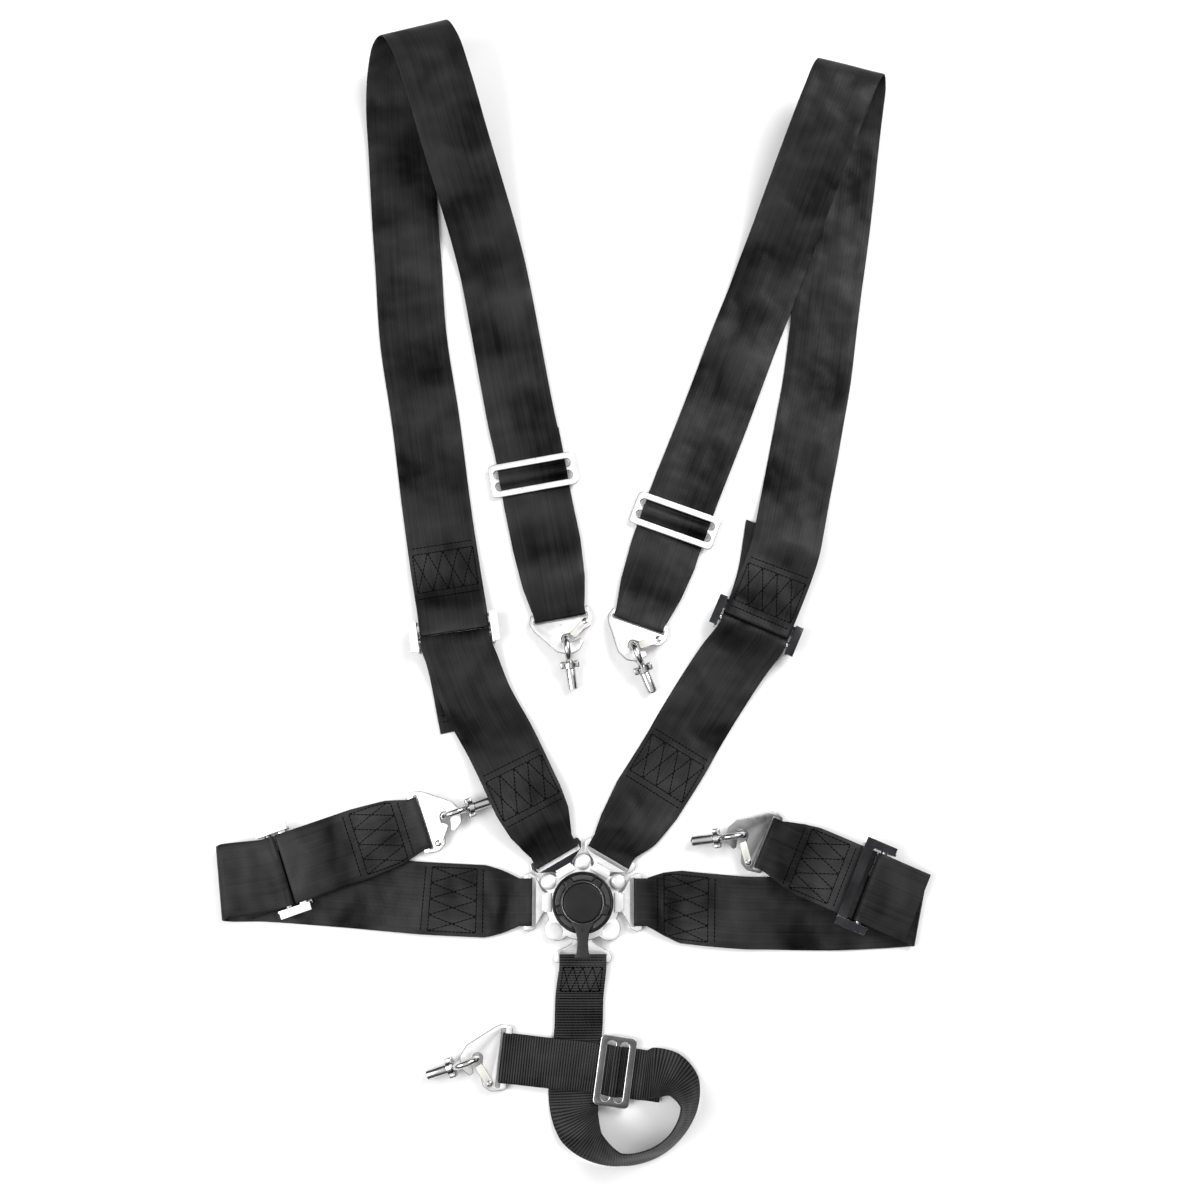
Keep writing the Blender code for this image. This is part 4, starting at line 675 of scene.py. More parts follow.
# Each length is laid, then sewn: what it rests on, where its box lies, and how long the box is. Only the
# left shoulder's lower length shows the hem at its loose end.
for length_name, keys, rest_node, box_at, box_length in (
        ("shoulder_lower_left", shoulder_lower_left(), "buckle_base_plate", (-0.0700, 0.1300), 0.060),
        ("shoulder_lower_right", shoulder_lower_right(), "buckle_base_plate", (0.0850, 0.1320), 0.060),
        ("shoulder_upper_left", shoulder_upper_left(), "adjuster_frame_shoulder_left",
         (-0.1540, 0.3720), 0.058),
        ("shoulder_upper_right", shoulder_upper_right(), "adjuster_frame_shoulder_right",
         (0.2085, 0.3435), 0.060),
        ("lap_left", lap_left(), "buckle_base_plate", (-0.1290, 0.0020), 0.064),
        ("lap_right", lap_right(), "buckle_base_plate", (0.1200, -0.0065), 0.062),
        ("lap_anchor_left", lap_anchor("lap_left"), "adjuster_frame_lap_left", (-0.2290, 0.0640), 0.060),
        ("lap_anchor_right", lap_anchor("lap_right"), "adjuster_frame_lap_right", (0.2420, 0.0420), 0.058),
        ("crotch", crotch(), "buckle_base_plate", (-0.0030, -0.0905), 0.040)):
    ribbed = length_name == "crotch"
    width = CROTCH_WIDTH if ribbed else BELT_WIDTH
    stations = lay(f"webbing_{length_name}", keys, width, crotch_cloth if ribbed else belt_cloth)
    seams = box_seams(top_run(stations, *box_at), box_length, width)
    if length_name == "shoulder_lower_left":
        seams += hem_seams(top_run(stations, *HEM_AT), width)
    stitches(f"stitching_{length_name}", stations, seams)


# ---------------------------------------------------------------- the snap hooks
# Stamped steel plates, bent so that the nose stands off the floor and plated. The webbing goes through
# the slot behind, the throat takes an eye bolt, and a sprung gate on a rivet closes the throat.
HOOK_SLOT_END, HOOK_HALF, HOOK_LENGTH = 0.0015, 0.0350, 0.0430
THROAT, THROAT_RADIUS = (0.0242, 0.0020), 0.0054
RIVET_AT, RIVET_RADIUS = (0.0085, 0.0265), 0.0020
GATE_THICK, GATE_HALF, GATE_LENGTH = 0.0010, 0.0042, 0.0255
BRUSH_DEPTH, PLATE_ROUND, LEAF_ROUND = 0.00008, 0.0007, 0.0003
TURNED_SMOOTH, STAMPED_SMOOTH, EDGE_TILT = 38, 25, 0.97


def plated(name, low, high, roughness, grain=(1.0, 1.0, 1.0), metallic=1.0, specular=0.5):
    """Bare or plated metal: a clouded tone, a brushed grain and handling marks that change its gloss."""
    metal, tree, skin = new_material(name)
    spot = shader(tree, "TexCoord", "Object")
    drag = shader(tree, "Mapping", "Vector", Vector=spot, Scale=grain)

    def cloud(scale, detail, source):
        return shader(tree, "TexNoise", "Fac", Vector=source, Scale=scale, Detail=detail)

    gloss = shader(tree, "MapRange", "Result", Value=cloud(160, 6, spot), From_Min=0.35, From_Max=0.65,
                   To_Min=roughness * 0.78, To_Max=roughness * 1.25)
    brushed = shader(tree, "Bump", "Normal", Height=cloud(700, 2, drag), Strength=0.30,
                     Distance=BRUSH_DEPTH)
    feed(tree, skin, Metallic=metallic, Specular_IOR_Level=specular, Roughness=gloss, Normal=brushed,
         Base_Color=tone_ramp(tree, cloud(45, 3, spot), low, high, 0.30, 0.70))
    return metal


bright_zinc = plated("bright_zinc_plate", (0.86, 0.86, 0.86), (0.92, 0.92, 0.915), 0.34, metallic=0.62)
gate_zinc = plated("gate_zinc_plate", (0.78, 0.765, 0.71), (0.84, 0.825, 0.77), 0.36, metallic=0.50)
# Darker tone for the upright sides and bevels of bright plate: partly the sheared edge's own tone, partly
# painted shade on the sides.
cut_edge_painted_shade = plated("sheared_edge_with_painted_shade", (0.26, 0.26, 0.26), (0.40, 0.40, 0.40), 0.38)
# Lighter tone for the upright sides and bevels of dark plate: partly bare sheared steel, partly a painted
# highlight along the edges.
dark_edge_painted_highlight = plated("sheared_dark_edge_with_painted_highlight", (0.30, 0.30, 0.31), (0.55, 0.55, 0.56), 0.22)
hook_grey = plated("hook_grey_plate", (0.30, 0.30, 0.30), (0.36, 0.36, 0.36), 0.34)
dark_plate = plated("dark_nickel_plate", (0.022, 0.022, 0.024), (0.050, 0.050, 0.053), 0.20,
                    (1.0, 12.0, 1.0))
forged_steel = plated("forged_eye_steel", (0.46, 0.46, 0.46), (0.62, 0.62, 0.615), 0.21)


def eased(corners, fillet, steps=5):
    """An outline with its corners rounded; a corner may carry its own radius as a third number."""
    made = []
    for i, corner in enumerate(corners):
        here = Vector(corner[:2])
        back = Vector(corners[i - 1][:2]) - here
        on = Vector(corners[(i + 1) % len(corners)][:2]) - here
        radius = corner[2] if len(corner) > 2 else fillet
        between = back.angle(on, pi)
        if radius < 1e-5 or between > radians(176):
            made.append(tuple(here))
            continue
        reach = min(radius / tan(between / 2), back.length * 0.48, on.length * 0.48)
        start, end = here + back.normalized() * reach, here + on.normalized() * reach
        for j in range(steps + 1):
            t = j / steps
            made.append(tuple(start * (1 - t) ** 2 + here * 2 * t * (1 - t) + end * t ** 2))
    return made


def ring_of(radius, count, x=0.0, y=0.0):
    """The outline of a round hole."""
    return [(x + radius * cos(2 * pi * i / count), y + radius * sin(2 * pi * i / count))
            for i in range(count)]


def long_slot(x_low, x_high, y_low, y_high, count=10):
    """The outline of a slot with round ends, long in Y."""
    radius, middle = (x_high - x_low) / 2, (x_high + x_low) / 2
    arc = [pi * i / count for i in range(count + 1)]
    return ([(middle + radius * cos(a), y_high - radius + radius * sin(a)) for a in arc]
            + [(middle - radius * cos(a), y_low + radius - radius * sin(a)) for a in arc])


def sealed(blank):
    """Joins a blank's loose corners and turns its faces outwards."""
    bpy.ops.object.mode_set(mode="EDIT")
    bpy.ops.mesh.select_all(action="SELECT")
    bpy.ops.mesh.remove_doubles(threshold=2e-6)
    bpy.ops.mesh.dissolve_degenerate(threshold=1e-6)
    bpy.ops.mesh.normals_make_consistent(inside=False)
    bpy.ops.object.mode_set(mode="OBJECT")


def stamped(name, outlines, low, thick, edge, place):
    """Sheet metal stamped to an outline with holes, its edges broken by a small round."""
    blank = started(name, bpy.ops.curve.primitive_bezier_circle_add)
    blank.data.splines.clear()
    blank.data.dimensions = "2D"
    blank.data.fill_mode = "BOTH"
    blank.data.extrude = thick / 2 - edge
    blank.data.bevel_depth = edge
    blank.data.bevel_resolution = 1
    blank.data.offset = -edge
    for outline in outlines:
        polyline(blank.data, [(x, y, 0) for x, y in outline]).use_cyclic_u = True
    bpy.ops.object.convert(target="MESH")
    blank = bpy.context.object
    sealed(blank)
    # Faces that stand up from the sheet take the second material, which carries the painted edge shade or
    # edge highlight of this piece.
    for face in blank.data.polygons:
        face.material_index = 1 if abs(face.normal.z) < EDGE_TILT else 0
    blank.data.transform(place @ Matrix.Translation((0, 0, low + thick / 2)))
    bpy.ops.object.shade_smooth_by_angle(angle=radians(STAMPED_SMOOTH))
    return blank


def lathed(name, profile, steps, edge, place):
    """Lathe work: a half profile of (radius, height) points spun about its axis, with eased corners."""
    blank = started(name, bpy.ops.curve.primitive_nurbs_path_add)
    blank.data.splines.clear()
    polyline(blank.data, [(radius, 0, height) for radius, height in profile])
    bpy.ops.object.convert(target="MESH")
    blank = bpy.context.object
    bpy.ops.object.mode_set(mode="EDIT")
    bpy.ops.mesh.select_all(action="SELECT")
    bpy.ops.mesh.spin(steps=steps, angle=2 * pi, center=(0, 0, 0), axis=(0, 0, 1))
    bpy.ops.object.mode_set(mode="OBJECT")
    sealed(blank)
    if edge:
        edges_rounded(blank, edge, 2, TURNED_SMOOTH)
    blank.data.transform(place)
    bpy.ops.object.shade_smooth_by_angle(angle=radians(TURNED_SMOOTH))
    return blank


def block(name, size, spot, edge, place):
    """A small sawn block with its edges eased."""
    blank = started(name, bpy.ops.mesh.primitive_cube_add, size=1)
    bpy.ops.object.mode_set(mode="EDIT")
    bpy.ops.transform.resize(value=size)
    bpy.ops.transform.translate(value=spot)
    bpy.ops.mesh.bevel(offset=edge, segments=3, affect="EDGES")
    bpy.ops.object.mode_set(mode="OBJECT")
    blank.data.transform(place)
    bpy.ops.object.shade_smooth_by_angle(angle=radians(TURNED_SMOOTH))
    return blank


def joined(pieces):
    """Makes one piece of several that are forged, cast or welded together."""
    bpy.ops.object.select_all(action="DESELECT")
    for piece in pieces:
        piece.select_set(True)
    bpy.context.view_layer.objects.active = pieces[0]
    bpy.ops.object.join()
    return pieces[0]


def finished(piece, *metals):
    """Gives a piece its metal, and a stamped one the second metal on its upright sides and bevels: painted
    shade on light pieces, a painted highlight on dark ones.
    """
    cut = [face.material_index for face in piece.data.polygons]
    piece.data.materials.clear()
    for metal in metals:
        piece.data.materials.append(metal)
    for face, index in zip(piece.data.polygons, cut):
        face.material_index = min(index, len(metals) - 1)
    return piece


def fitted(piece, body, node):
    """Sets a finished piece on its body, where it stands for its node of the model."""
    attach(piece, body)
    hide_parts(node)


for side, (place, hand, _) in HOOKS.items():
    dark = side == "lap_right"
    hook_metal, hook_slot = (hook_grey, "dark_plating") if dark else (bright_zinc, "bright_zinc")
    nose = THROAT[1] + 0.0185
    outer = [(-0.0100, -HOOK_HALF + 0.003, 0.003), (0.0010, -HOOK_HALF, 0.008),
             (0.0090, -HOOK_HALF + 0.004, 0.01), (HOOK_LENGTH - 0.006, -0.0105, 0.01),
             (HOOK_LENGTH, THROAT[1], 0.009), (HOOK_LENGTH - 0.003, 0.0140, 0.007), (0.0300, nose, 0.0025),
             (0.0262, nose - 0.003, 0.002), (THROAT[0] + 0.0045, THROAT[1] + 0.0075, 0.002)]
    throat = [(THROAT[0] + THROAT_RADIUS * sin(radians(a)), THROAT[1] - THROAT_RADIUS * cos(radians(a)),
               0.0) for a in range(110, -101, -15)]
    back = [(THROAT[0] - THROAT_RADIUS - 0.0003, THROAT[1] + 0.0070, 0.0005), (0.0185, 0.0200, 0.003),
            (0.0150, HOOK_HALF - 0.005, 0.006), (0.0060, HOOK_HALF, 0.008),
            (-0.0100, HOOK_HALF - 0.003, 0.003)]
    outline = [(x, y * hand) for x, y in eased(outer + throat + back, 0.002)]
    slot_cut = eased([(HOOK_BAR[1], -HOOK_SLOT_HALF), (HOOK_SLOT_END, -HOOK_SLOT_HALF),
                      (HOOK_SLOT_END, HOOK_SLOT_HALF), (HOOK_BAR[1], HOOK_SLOT_HALF)], 0.0012)
    hole = ring_of(RIVET_RADIUS + GAP, 16, RIVET_AT[0], RIVET_AT[1] * hand)
    plate = stamped(f"hook_plate_{side}", [outline, slot_cut, hole], -HOOK_THICK / 2, HOOK_THICK,
                    PLATE_ROUND, place)
    fitted(finished(plate, hook_metal, cut_edge_painted_shade), "harness", f"snap_hook_{side}")

    pivot = place @ Matrix.Translation((RIVET_AT[0], RIVET_AT[1] * hand, 0))
    aim = atan2((THROAT[1] + THROAT_RADIUS - RIVET_AT[1]) * hand, THROAT[0] - RIVET_AT[0])
    leaf = eased([(-GATE_HALF, -GATE_HALF, 0.004), (GATE_LENGTH - 0.003, -GATE_HALF, 0.002),
                  (GATE_LENGTH - 0.003, GATE_HALF, 0.002), (-GATE_HALF, GATE_HALF, 0.004)], 0.002)
    gate = stamped(f"gate_leaf_{side}", [leaf, ring_of(RIVET_RADIUS + GAP, 16)], HOOK_THICK / 2 + GAP,
                   GATE_THICK, LEAF_ROUND, pivot @ Matrix.Rotation(aim, 4, "Z"))
    fitted(finished(gate, gate_zinc, cut_edge_painted_shade), f"gate_{side}", f"hook_gate_{side}")

    under, over = -HOOK_THICK / 2 - GAP, HOOK_THICK / 2 + GAP + GATE_THICK + GAP
    head = RIVET_RADIUS * 1.7
    profile = [(0, under - 0.0008), (head * 0.8, under - 0.0008), (head, under - 0.0003), (head, under),
               (RIVET_RADIUS, under), (RIVET_RADIUS, over), (head, over), (head * 0.94, over + 0.0005),
               (head * 0.70, over + 0.0010), (head * 0.38, over + 0.0013), (0, over + 0.0013)]
    rivet = lathed(f"rivet_{side}", profile, 24, 0, pivot)
    fitted(finished(rivet, forged_steel), "harness", f"gate_rivet_{side}")

# ---------------------------------------------------------------- the eye bolts
# Drop-forged eyes for the car's floor: a round ring through the hook's throat, a flange with two
# wings for a spanner, and a plain shank with a chamfered end.
RING_RADIUS, RING_WIRE, RING_SET_BACK = 0.0124, 0.0036, 0.0005
COLLAR_RADIUS, COLLAR_THICK, SHANK_RADIUS, SHANK_LENGTH = 0.0100, 0.0042, 0.0055, 0.0260
WING_SIZE = (COLLAR_THICK + 0.0036, 0.0062, 0.0086)
BOLT_DROOP = radians(12.5)

for side, (place, hand, heading) in HOOKS.items():
    hinge = place @ Vector((THROAT[0], THROAT[1] * hand, 0))
    axis = Matrix.Translation((hinge.x, hinge.y, 0)) @ Matrix.Rotation(radians(heading), 4, "Z")
    bolt = (axis @ Matrix.Translation((RING_RADIUS - RING_SET_BACK, 0, RING_RADIUS + RING_WIRE + GAP))
            @ Matrix.Rotation(BOLT_DROOP, 4, "Y"))
    eye = started(f"eye_{side}", bpy.ops.mesh.primitive_torus_add, major_segments=64, minor_segments=24,
                  major_radius=RING_RADIUS, minor_radius=RING_WIRE, rotation=(pi / 2, 0, 0))
    bpy.ops.object.transform_apply(location=True, rotation=True, scale=True)
    eye.data.transform(bolt)
    bpy.ops.object.shade_smooth()
    start = RING_RADIUS + RING_WIRE - 0.0012
    flange = start + COLLAR_THICK
    end = flange + SHANK_LENGTH
    flange_lip, flange_wall = COLLAR_RADIUS - 0.0030, COLLAR_RADIUS - 0.0018
    profile = [(0, start - 0.0022), (0.0042, start - 0.0022), (0.0050, start - 0.0006),
               (flange_lip, start - 0.0010), (flange_wall, start + 0.0002),
               (flange_wall, flange + 0.0010), (flange_lip, flange + 0.0018),
               (SHANK_RADIUS + 0.0006, flange + 0.0019), (SHANK_RADIUS - 0.0004, flange + 0.0026),
               (SHANK_RADIUS, flange + 0.0034), (SHANK_RADIUS, end - 0.0016),
               (SHANK_RADIUS - 0.0014, end), (0, end)]
    turned_shank = lathed("shank", profile, 40, 0, bolt @ Matrix.Rotation(pi / 2, 4, "Y"))
    wings = [block("wing", WING_SIZE, (start + COLLAR_THICK / 2, s * (COLLAR_RADIUS - 0.0026), 0),
                   0.0016, bolt) for s in (-1, 1)]
    eye = joined([eye, turned_shank, *wings])
    fitted(finished(eye, forged_steel), f"bolt_{side}", f"eye_bolt_{side}")

# ---------------------------------------------------------------- the three-bar slides
# Stamped plates that shorten a doubled strap: the webbing comes up one slot, goes over the middle bar
# and down the other. The two on the shoulders are bright, the one on the crotch strap is grey.
SLIDE_WIDTH, SLIDE_MARGIN, SLIDE_SLOT_MARGIN = 0.0380, 0.0105, 0.0055
slide_grey = plated("slide_grey_plate", (0.10, 0.10, 0.102), (0.15, 0.15, 0.153), 0.36, (1.0, 10.0, 1.0))

for side, place in SLIDES.items():
    web = CROTCH_WIDTH if side == "crotch" else BELT_WIDTH
    half, reach = web / 2 + SLIDE_MARGIN, web / 2 + SLIDE_SLOT_MARGIN
    inner, outer = SLIDE_BAR / 2, SLIDE_BAR / 2 + SLIDE_SLOT
    edge = eased([(-SLIDE_WIDTH / 2, -half), (SLIDE_WIDTH / 2, -half), (SLIDE_WIDTH / 2, half),
                  (-SLIDE_WIDTH / 2, half)], 0.006, 8)
    cuts = [long_slot(inner, outer, -reach, reach), long_slot(-outer, -inner, -reach, reach)]
    slide = stamped(f"slide_plate_{side}", [edge, *cuts], SLIDE_LOW, SLIDE_THICK, PLATE_ROUND, place)
    # The grey crotch slide's sides and bevels take the lighter forged steel: partly bare steel, partly a
    # painted edge highlight.
    slide = finished(slide, *((slide_grey, forged_steel) if side == "crotch" else (bright_zinc, cut_edge_painted_shade)))
    fitted(slide, "harness", f"slide_{side}")

# ---------------------------------------------------------------- the adjusters
# Each is a frame folded from sheet steel with a fixed bar, a bridge and two cheeks, and a round
# locking bar that slides in the cheeks' windows and grips the strap that goes round it.
FRAME_SHEET, FRAME_CLEAR, FOLD_ROUND, FOLD_TILT = 0.0022, 0.0022, 0.0006, 0.85
ROD_OVERHANG = 0.0025

for side, place in ADJUSTERS.items():
    dark = side in ("shoulder_right", "lap_right")
    folded = frame["nodes"][f"adjuster_frame_{side}"].copy()
    folded.data = folded.data.copy()
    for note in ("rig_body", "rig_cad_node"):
        del folded[note]
    folded.name = f"folded_frame_{side}"
    bpy.context.scene.collection.objects.link(folded)
    bpy.ops.object.select_all(action="DESELECT")
    folded.select_set(True)
    bpy.context.view_layer.objects.active = folded
    bpy.ops.object.mode_set(mode="EDIT")
    bpy.ops.mesh.select_all(action="SELECT")
    bpy.ops.mesh.remove_doubles(threshold=1e-5)
    bpy.ops.mesh.dissolve_limited(angle_limit=radians(2))
    bpy.ops.object.mode_set(mode="OBJECT")
    edges_rounded(folded, FOLD_ROUND, 3, 50)
    bpy.ops.object.shade_smooth_by_angle(angle=radians(STAMPED_SMOOTH))
    # Faces that stand up from the sheet take the second material: painted edge shade on bright frames, a
    # painted edge highlight on dark ones.
    for face in folded.data.polygons:
        face.material_index = 1 if abs(face.normal.z) < FOLD_TILT else 0
    folded = finished(folded, *((dark_plate, dark_edge_painted_highlight) if dark else (bright_zinc, cut_edge_painted_shade)))
    fitted(folded, "harness", f"adjuster_frame_{side}")

    half = BELT_WIDTH / 2 + FRAME_CLEAR + FRAME_SHEET + ROD_OVERHANG
    profile = [(0, -half), (ROD_RADIUS - 0.0010, -half), (ROD_RADIUS - 0.0003, -half + 0.0004),
               (ROD_RADIUS, -half + 0.0012), (ROD_RADIUS, half - 0.0012),
               (ROD_RADIUS - 0.0003, half - 0.0004), (ROD_RADIUS - 0.0010, half), (0, half)]
    rod = lathed(f"locking_bar_{side}", profile, 32, 0,
                 place @ Matrix.Translation((ROD_AT, 0, ROD_UP)) @ Matrix.Rotation(pi / 2, 4, "X"))
    fitted(finished(rod, forged_steel), f"bar_{side}", f"adjuster_bar_{side}")

# ---------------------------------------------------------------- the tongues
# Flat stamped tongues with a pin slot near the tip, a neck and a winged end for the sewn eye.
# The left shoulder's is dark nickel plate; the crotch's stays in the buckle for good.
NECK_REACH, NECK_HALF, WING_REACH, SLOT_NEAR, WING_MARGIN = 0.0240, 0.0100, 0.0430, 0.0495, 0.0038
TIP_REACH, TIP_HALF, PIN_REACH, PIN_RADIUS = 0.0125, 0.0050, 0.0240, 0.0025

tongue_zinc = plated("tongue_zinc_plate", (0.66, 0.66, 0.66), (0.86, 0.86, 0.855), 0.32,
                     (1.0, 6.0, 1.0), 0.75)

for side, angle in TONGUE_ANGLES.items():
    outer, wing = BAR_NEAR + BAR_WIDTH, TONGUE_SLOT_HALF + WING_MARGIN
    half = [(TIP_REACH, TIP_HALF, 0.0015), (NECK_REACH, NECK_HALF, 0.004),
            (WING_REACH - 0.001, NECK_HALF, 0.006), (SLOT_NEAR + 0.0015, wing - 0.0035, 0.003),
            (BAR_NEAR + 0.001, wing, 0.003), (outer, wing - 0.0015, 0.0035)]
    outline = eased([(x, -y, r) for x, y, r in half] + [(x, y, r) for x, y, r in reversed(half)], 0.002)
    latch = 0.0 if side == "crotch" else EJECT
    pin_slot = long_slot(-PIN_RADIUS - GAP, PIN_RADIUS + GAP, PIN_REACH - PIN_RADIUS - GAP - latch,
                         PIN_REACH + PIN_RADIUS + GAP)
    strap_slot = eased([(SLOT_NEAR, -TONGUE_SLOT_HALF + 0.001), (SLOT_NEAR, TONGUE_SLOT_HALF - 0.001),
                        (BAR_NEAR, TONGUE_SLOT_HALF), (BAR_NEAR, -TONGUE_SLOT_HALF)], 0.001)
    tongue = stamped(f"latch_plate_{side}", [outline, [(y, -x) for x, y in pin_slot], strap_slot], TONGUE_LOW,
                     TONGUE_THICK, 0.0005, fitting(0, 0, 0, angle))
    dark = side == "shoulder_left"
    tongue = finished(tongue, *((dark_plate, dark_edge_painted_highlight) if dark else (tongue_zinc, cut_edge_painted_shade)))
    fitted(tongue, "harness" if side == "crotch" else f"tongue_body_{side}",
           f"tongue_{side}")

# ---------------------------------------------------------------- the buckle's shell
# A bright base plate and a cast cover over the tongues, joined through three domed bosses and two
# low lobes beside the crotch tongue, with a stepped lintel over each tongue's mouth.
BASE_RADIUS, BASE_THICK, COVER_THICK = 0.040, 0.0024, 0.0025
COVER_LOW = TONGUE_TOP + GAP
COVER_TOP = COVER_LOW + COVER_THICK
EARS = ((30, 0.0425, 0.0090), (90, 0.0425, 0.0090), (150, 0.0425, 0.0090), (225, 0.0385, 0.0130),
        (315, 0.0385, 0.0130))
EAR_RISE, LOBE_RISE, LOBE_BOSS = 0.0042, 0.0007, 0.0100
LINTEL_SIZE, LINTEL_REACH = (0.0070, 0.0205, 0.0030), 0.0372
POST_RADIUS = 0.0060
cast_zinc = plated("cast_zinc", (0.84, 0.84, 0.84), (0.90, 0.90, 0.895), 0.36, metallic=0.55)
spring_steel = plated("blued_spring_steel", (0.36, 0.36, 0.38), (0.50, 0.50, 0.50), 0.34, (1.0, 8.0, 1.0))


def eared(grow):
    """The shell's plan: a disc with five round ears."""
    made = []
    for i in range(240):
        angle = 2 * pi * i / 240
        reach = BASE_RADIUS
        for ear, distance, radius in EARS:
            off = abs((angle - radians(ear) + pi) % (2 * pi) - pi)
            if off < asin(radius / distance):
                reach = max(reach, distance * cos(off) + sqrt(radius ** 2 - (distance * sin(off)) ** 2))
        made.append(((reach + grow) * cos(angle), (reach + grow) * sin(angle)))
    return made


base = stamped("buckle_base", [eared(0.0)], 0, BASE_THICK, 0.0005, Matrix())
fitted(finished(base, bright_zinc, cut_edge_painted_shade), "harness", "buckle_base_plate")

holes = [ring_of(POST_RADIUS + GAP, 48)]
for side, angle in TONGUE_ANGLES.items():
    if side != "crotch":
        holes.append(ring_of(PIN_RADIUS + GAP, 24, *polar(PIN_REACH, angle)))
lid = stamped("buckle_cover", [eared(-0.0003), *holes], COVER_LOW, COVER_THICK, PLATE_ROUND, Matrix())
cover = [finished(lid, cast_zinc, cut_edge_painted_shade)]
bosses = [(a, reach, radius, EAR_RISE) for a, reach, radius in EARS[:3]]
bosses += [(a, EARS[0][1], LOBE_BOSS, LOBE_RISE) for a, _, _ in EARS[3:]]
for angle, reach, radius, rise in bosses:
    wall, foot = radius - 0.0006, BASE_THICK + GAP
    kerb = 0.30 if rise == EAR_RISE else -0.40
    dome = [(0, foot), (wall, foot), (wall, COVER_TOP + rise * kerb)]
    dome += [(wall * cos(pi / 2 * t / 7), COVER_TOP + rise * (kerb + (1 - kerb) * sin(pi / 2 * t / 7)))
             for t in range(1, 7)]
    dome.append((0, COVER_TOP + rise))
    boss = lathed("boss", dome, 40, 0, Matrix.Translation((*polar(reach, angle), 0)))
    cover.append(finished(boss, cast_zinc))
for side, angle in TONGUE_ANGLES.items():
    if side == "crotch":
        continue
    turn = Matrix.Rotation(radians(angle), 4, "Z")
    rise = LINTEL_SIZE[2]
    lintel = block("lintel", LINTEL_SIZE, (LINTEL_REACH, 0, COVER_TOP - 0.0008 + rise / 2), 0.0005, turn)
    step = block("lintel_step", (LINTEL_SIZE[0] * 0.42, LINTEL_SIZE[1] * 0.86, rise * 0.9),
                 (LINTEL_REACH + LINTEL_SIZE[0] * 0.62, 0, COVER_TOP - 0.0008 + rise * 0.30), 0.0004, turn)
    cover += [finished(lintel, cast_zinc), finished(step, cast_zinc)]
fitted(joined(cover), "harness", "buckle_housing")

# ---------------------------------------------------------------- the lock inside
# Under the knob: a post, a coil spring that brings the knob back, a leaf spring that holds the four
# pins down through the tongues, and the ramped ring that lifts them. All are bare steel.
for node in ("centre_post", "return_spring", "pin_leaf_spring", "cam_plate", "locking_pin_shoulder_right",
             "locking_pin_shoulder_left", "locking_pin_lap_left", "locking_pin_lap_right"):
    hidden_steel = frame["nodes"][node].data.materials
    for i in range(len(hidden_steel)):
        hidden_steel[i] = spring_steel

# ---------------------------------------------------------------- the knob
# A moulded black dish with a glossy rolled rim, a five-spoked release lever set in it, whose long arm
# runs out over the crotch strap, and a flat matt cap ringed by a thin polished line.
KNOB_RADIUS, KNOB_WALL, KNOB_LOW, KNOB_FLOOR, KNOB_DISH = 0.0325, 0.0022, 0.0086, 0.0198, 0.0220
KNOB_RIM, SPIDER_LOW, SPIDER_THICK, SPIDER_RING = 0.0246, 0.0223, 0.0030, 0.0235
SPOKE_REACH, SPOKE_HALF, LEVER_HALF, LEVER_LENGTH = 0.0292, 0.0038, 0.0082, 0.0570
CAP_RADIUS, CAP_THICK, SCREW_REACH, SCREW_RADIUS = 0.0205, 0.0036, 0.0268, 0.0014
ROOT_REACH, ROOT_FLARE, POCKET_MARGIN, POCKET_FLARE = 0.985, 1.35, 0.075, 0.02
TRIM_GAP, TRIM_WIRE = 0.0013, 0.00032
knob_gloss = plated("knob_moulding", (0.002, 0.002, 0.0022), (0.005, 0.005, 0.0053), 0.24,
                    metallic=0.0, specular=0.30)
tree = knob_gloss.node_tree
feed(tree, tree.nodes["Principled BSDF"], Coat_Weight=0.15, Coat_Roughness=0.12)
cap_matt = plated("cap_moulding", (0.010, 0.010, 0.011), (0.016, 0.016, 0.017), 0.42,
                  metallic=0.0, specular=0.20)
spider_satin = plated("spider_moulding", (0.017, 0.017, 0.0175), (0.024, 0.024, 0.025), 0.30,
                      metallic=0.0, specular=0.30)
inset_grey = plated("inset_moulding", (0.022, 0.022, 0.023), (0.040, 0.040, 0.042), 0.30, metallic=0.0)
ring_polish = plated("ring_polish", (0.20, 0.20, 0.21), (0.30, 0.30, 0.31), 0.25)
screw_black = plated("screw_black_oxide", (0.0015, 0.0015, 0.0016), (0.003, 0.003, 0.0032), 0.60,
                     metallic=0.0)

inner = KNOB_RADIUS - KNOB_WALL
profile = [(0, KNOB_FLOOR), (inner, KNOB_FLOOR), (inner, KNOB_LOW), (KNOB_RADIUS - 0.0006, KNOB_LOW),
           (KNOB_RADIUS, KNOB_LOW + 0.0010), (KNOB_RADIUS, KNOB_RIM - 0.0014),
           (KNOB_RADIUS - 0.0004, KNOB_RIM - 0.0005), (KNOB_RADIUS - 0.0011, KNOB_RIM),
           (inner + 0.0005, KNOB_RIM), (inner, KNOB_RIM - 0.0005), (inner, KNOB_DISH), (0, KNOB_DISH)]
dish = lathed("knob_dish", profile, 96, 0.0002, Matrix())
notch = block("notch", (2 * LEVER_HALF + 4 * GAP, 0.012, 0.008),
              (0, -KNOB_RADIUS + 0.002, KNOB_DISH + 0.004), 0.0003, Matrix())
bpy.context.view_layer.objects.active = dish
milled = dish.modifiers.new("notch", "BOOLEAN")
milled.operation = "DIFFERENCE"
milled.solver = "EXACT"
milled.object = notch
bpy.ops.object.modifier_apply(modifier="notch")
bpy.data.objects.remove(notch)
fitted(finished(dish, knob_gloss), "knob", "rotary_knob")

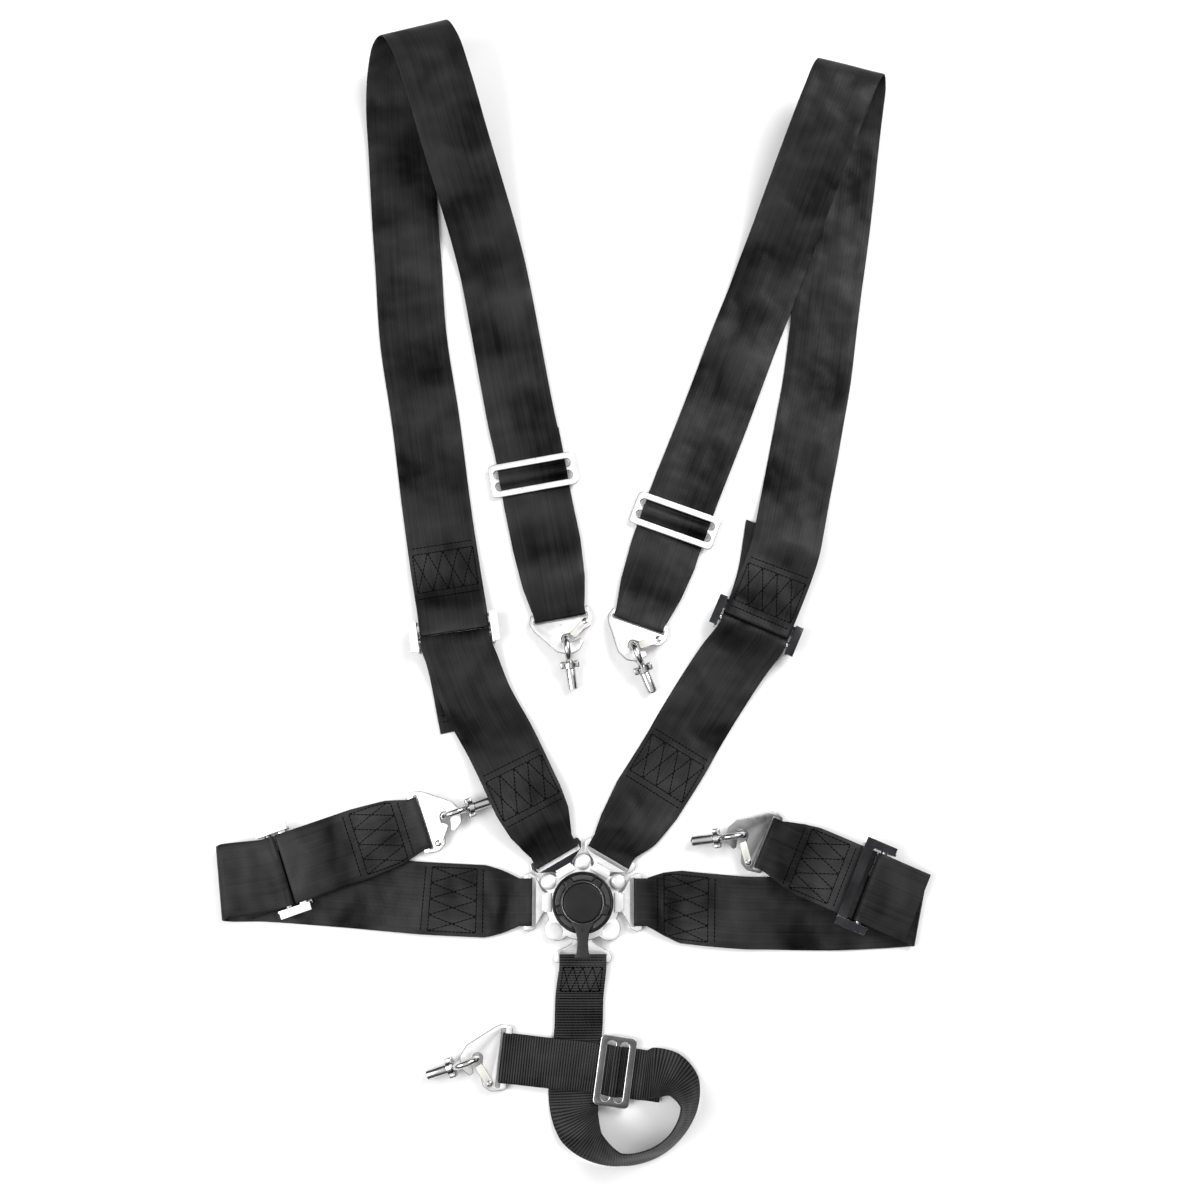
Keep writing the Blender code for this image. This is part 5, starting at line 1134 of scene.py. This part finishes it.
spider = []
for spoke in range(5):
    stem = spoke == 0
    half, reach = (LEVER_HALF, LEVER_LENGTH) if stem else (SPOKE_HALF, SPOKE_REACH)
    turn = radians(270 + 72 * spoke)
    along, across = Vector((cos(turn), sin(turn))), Vector((-sin(turn), cos(turn)))
    arm = [(SPIDER_RING + 0.003, half), (reach - 0.0008, half), (reach, half - 0.0008)]
    if stem:
        arm = [(SPIDER_RING + 0.003, half * 1.02), (0.0310, half * 0.86), (0.0360, half * 0.74),
               (0.0420, half * 0.70), (0.0480, half * 0.75), (0.0530, half * 0.86),
               (reach - 0.0012, half * 1.02), (reach, half * 0.90)]
    arm.insert(0, (SPIDER_RING * ROOT_REACH, half * ROOT_FLARE))
    arm = [(x, -y) for x, y in arm] + list(reversed(arm))
    spider += [tuple(along * x + across * y) for x, y in arm]
    span = asin(half * ROOT_FLARE / SPIDER_RING)
    next_half = SPOKE_HALF if spoke < 4 else LEVER_HALF
    gap_span = radians(72) - span - asin(next_half * ROOT_FLARE / SPIDER_RING)
    rim = [turn + span + gap_span * j / 12 for j in range(1, 12)]
    spider += [(SPIDER_RING * cos(a), SPIDER_RING * sin(a)) for a in rim]
lever = stamped("lever_spider", [spider, ring_of(CAP_RADIUS + GAP, 96)], SPIDER_LOW, SPIDER_THICK,
                0.0006, Matrix())
# The lever's upright sides take the darker dish moulding: painted shade outlining it against the dish.
fitted(finished(lever, spider_satin, knob_gloss), "knob", "release_lever")

insets = []
for spoke in range(5):
    turn = radians(270 + 72 * spoke)
    near_arm = asin((SPOKE_HALF if spoke else LEVER_HALF) / SPIDER_RING) + POCKET_MARGIN
    far_arm = radians(72) - asin((SPOKE_HALF if spoke < 4 else LEVER_HALF) / SPIDER_RING) - POCKET_MARGIN
    arc = [turn + near_arm + (far_arm - near_arm) * j / 14 for j in range(15)]
    shape = [((SPIDER_RING + 0.0007) * cos(a), (SPIDER_RING + 0.0007) * sin(a)) for a in arc]
    outer_arc = [turn + near_arm - POCKET_FLARE + (far_arm - near_arm + 2 * POCKET_FLARE) * j / 14
                 for j in range(15)]
    shape += [((inner - 0.0011) * cos(a), (inner - 0.0011) * sin(a)) for a in reversed(outer_arc)]
    insets.append(stamped("inset", [eased(shape, 0.0008, 3)], KNOB_DISH - 0.0002, 0.0018, 0.0004, Matrix()))
insets = joined(insets)
insets.name = "knob_pocket_insets"
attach(finished(insets, inset_grey), "knob")

profile = [(0, SPIDER_LOW), (CAP_RADIUS, SPIDER_LOW), (CAP_RADIUS, SPIDER_LOW + CAP_THICK * 0.74),
           (CAP_RADIUS - 0.0003, SPIDER_LOW + CAP_THICK * 0.86),
           (CAP_RADIUS - 0.0009, SPIDER_LOW + CAP_THICK * 0.96),
           (CAP_RADIUS - 0.0016, SPIDER_LOW + CAP_THICK), (0, SPIDER_LOW + CAP_THICK)]
cap = lathed("cap_disc", profile, 96, 0, Matrix())
fitted(finished(cap, cap_matt), "knob", "knob_centre_cap")

trim = started("cap_trim_ring", bpy.ops.mesh.primitive_torus_add, major_segments=96, minor_segments=8,
               major_radius=CAP_RADIUS + TRIM_GAP, minor_radius=TRIM_WIRE,
               location=(0, 0, SPIDER_LOW + SPIDER_THICK))
bpy.ops.object.transform_apply(location=True, rotation=True, scale=True)
bpy.ops.object.shade_smooth()
trim.data.materials.append(ring_polish)
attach(trim, "knob")

screws = []
for angle in (342, 54, 126, 198, 270):
    reach = SCREW_REACH + (0.0012 if angle == 270 else 0)
    spot = Matrix.Translation((*polar(reach, angle), SPIDER_LOW + SPIDER_THICK))
    profile = [(0, -0.0008), (SCREW_RADIUS, -0.0008), (SCREW_RADIUS, 0.0002), (SCREW_RADIUS * 0.8, 0.0005),
               (SCREW_RADIUS * 0.45, 0.0005), (SCREW_RADIUS * 0.40, -0.0002), (0, -0.0002)]
    screws.append(lathed("screw", profile, 20, 0, spot))
screws = joined(screws)
screws.name = "spider_screws"
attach(finished(screws, screw_black), "knob")
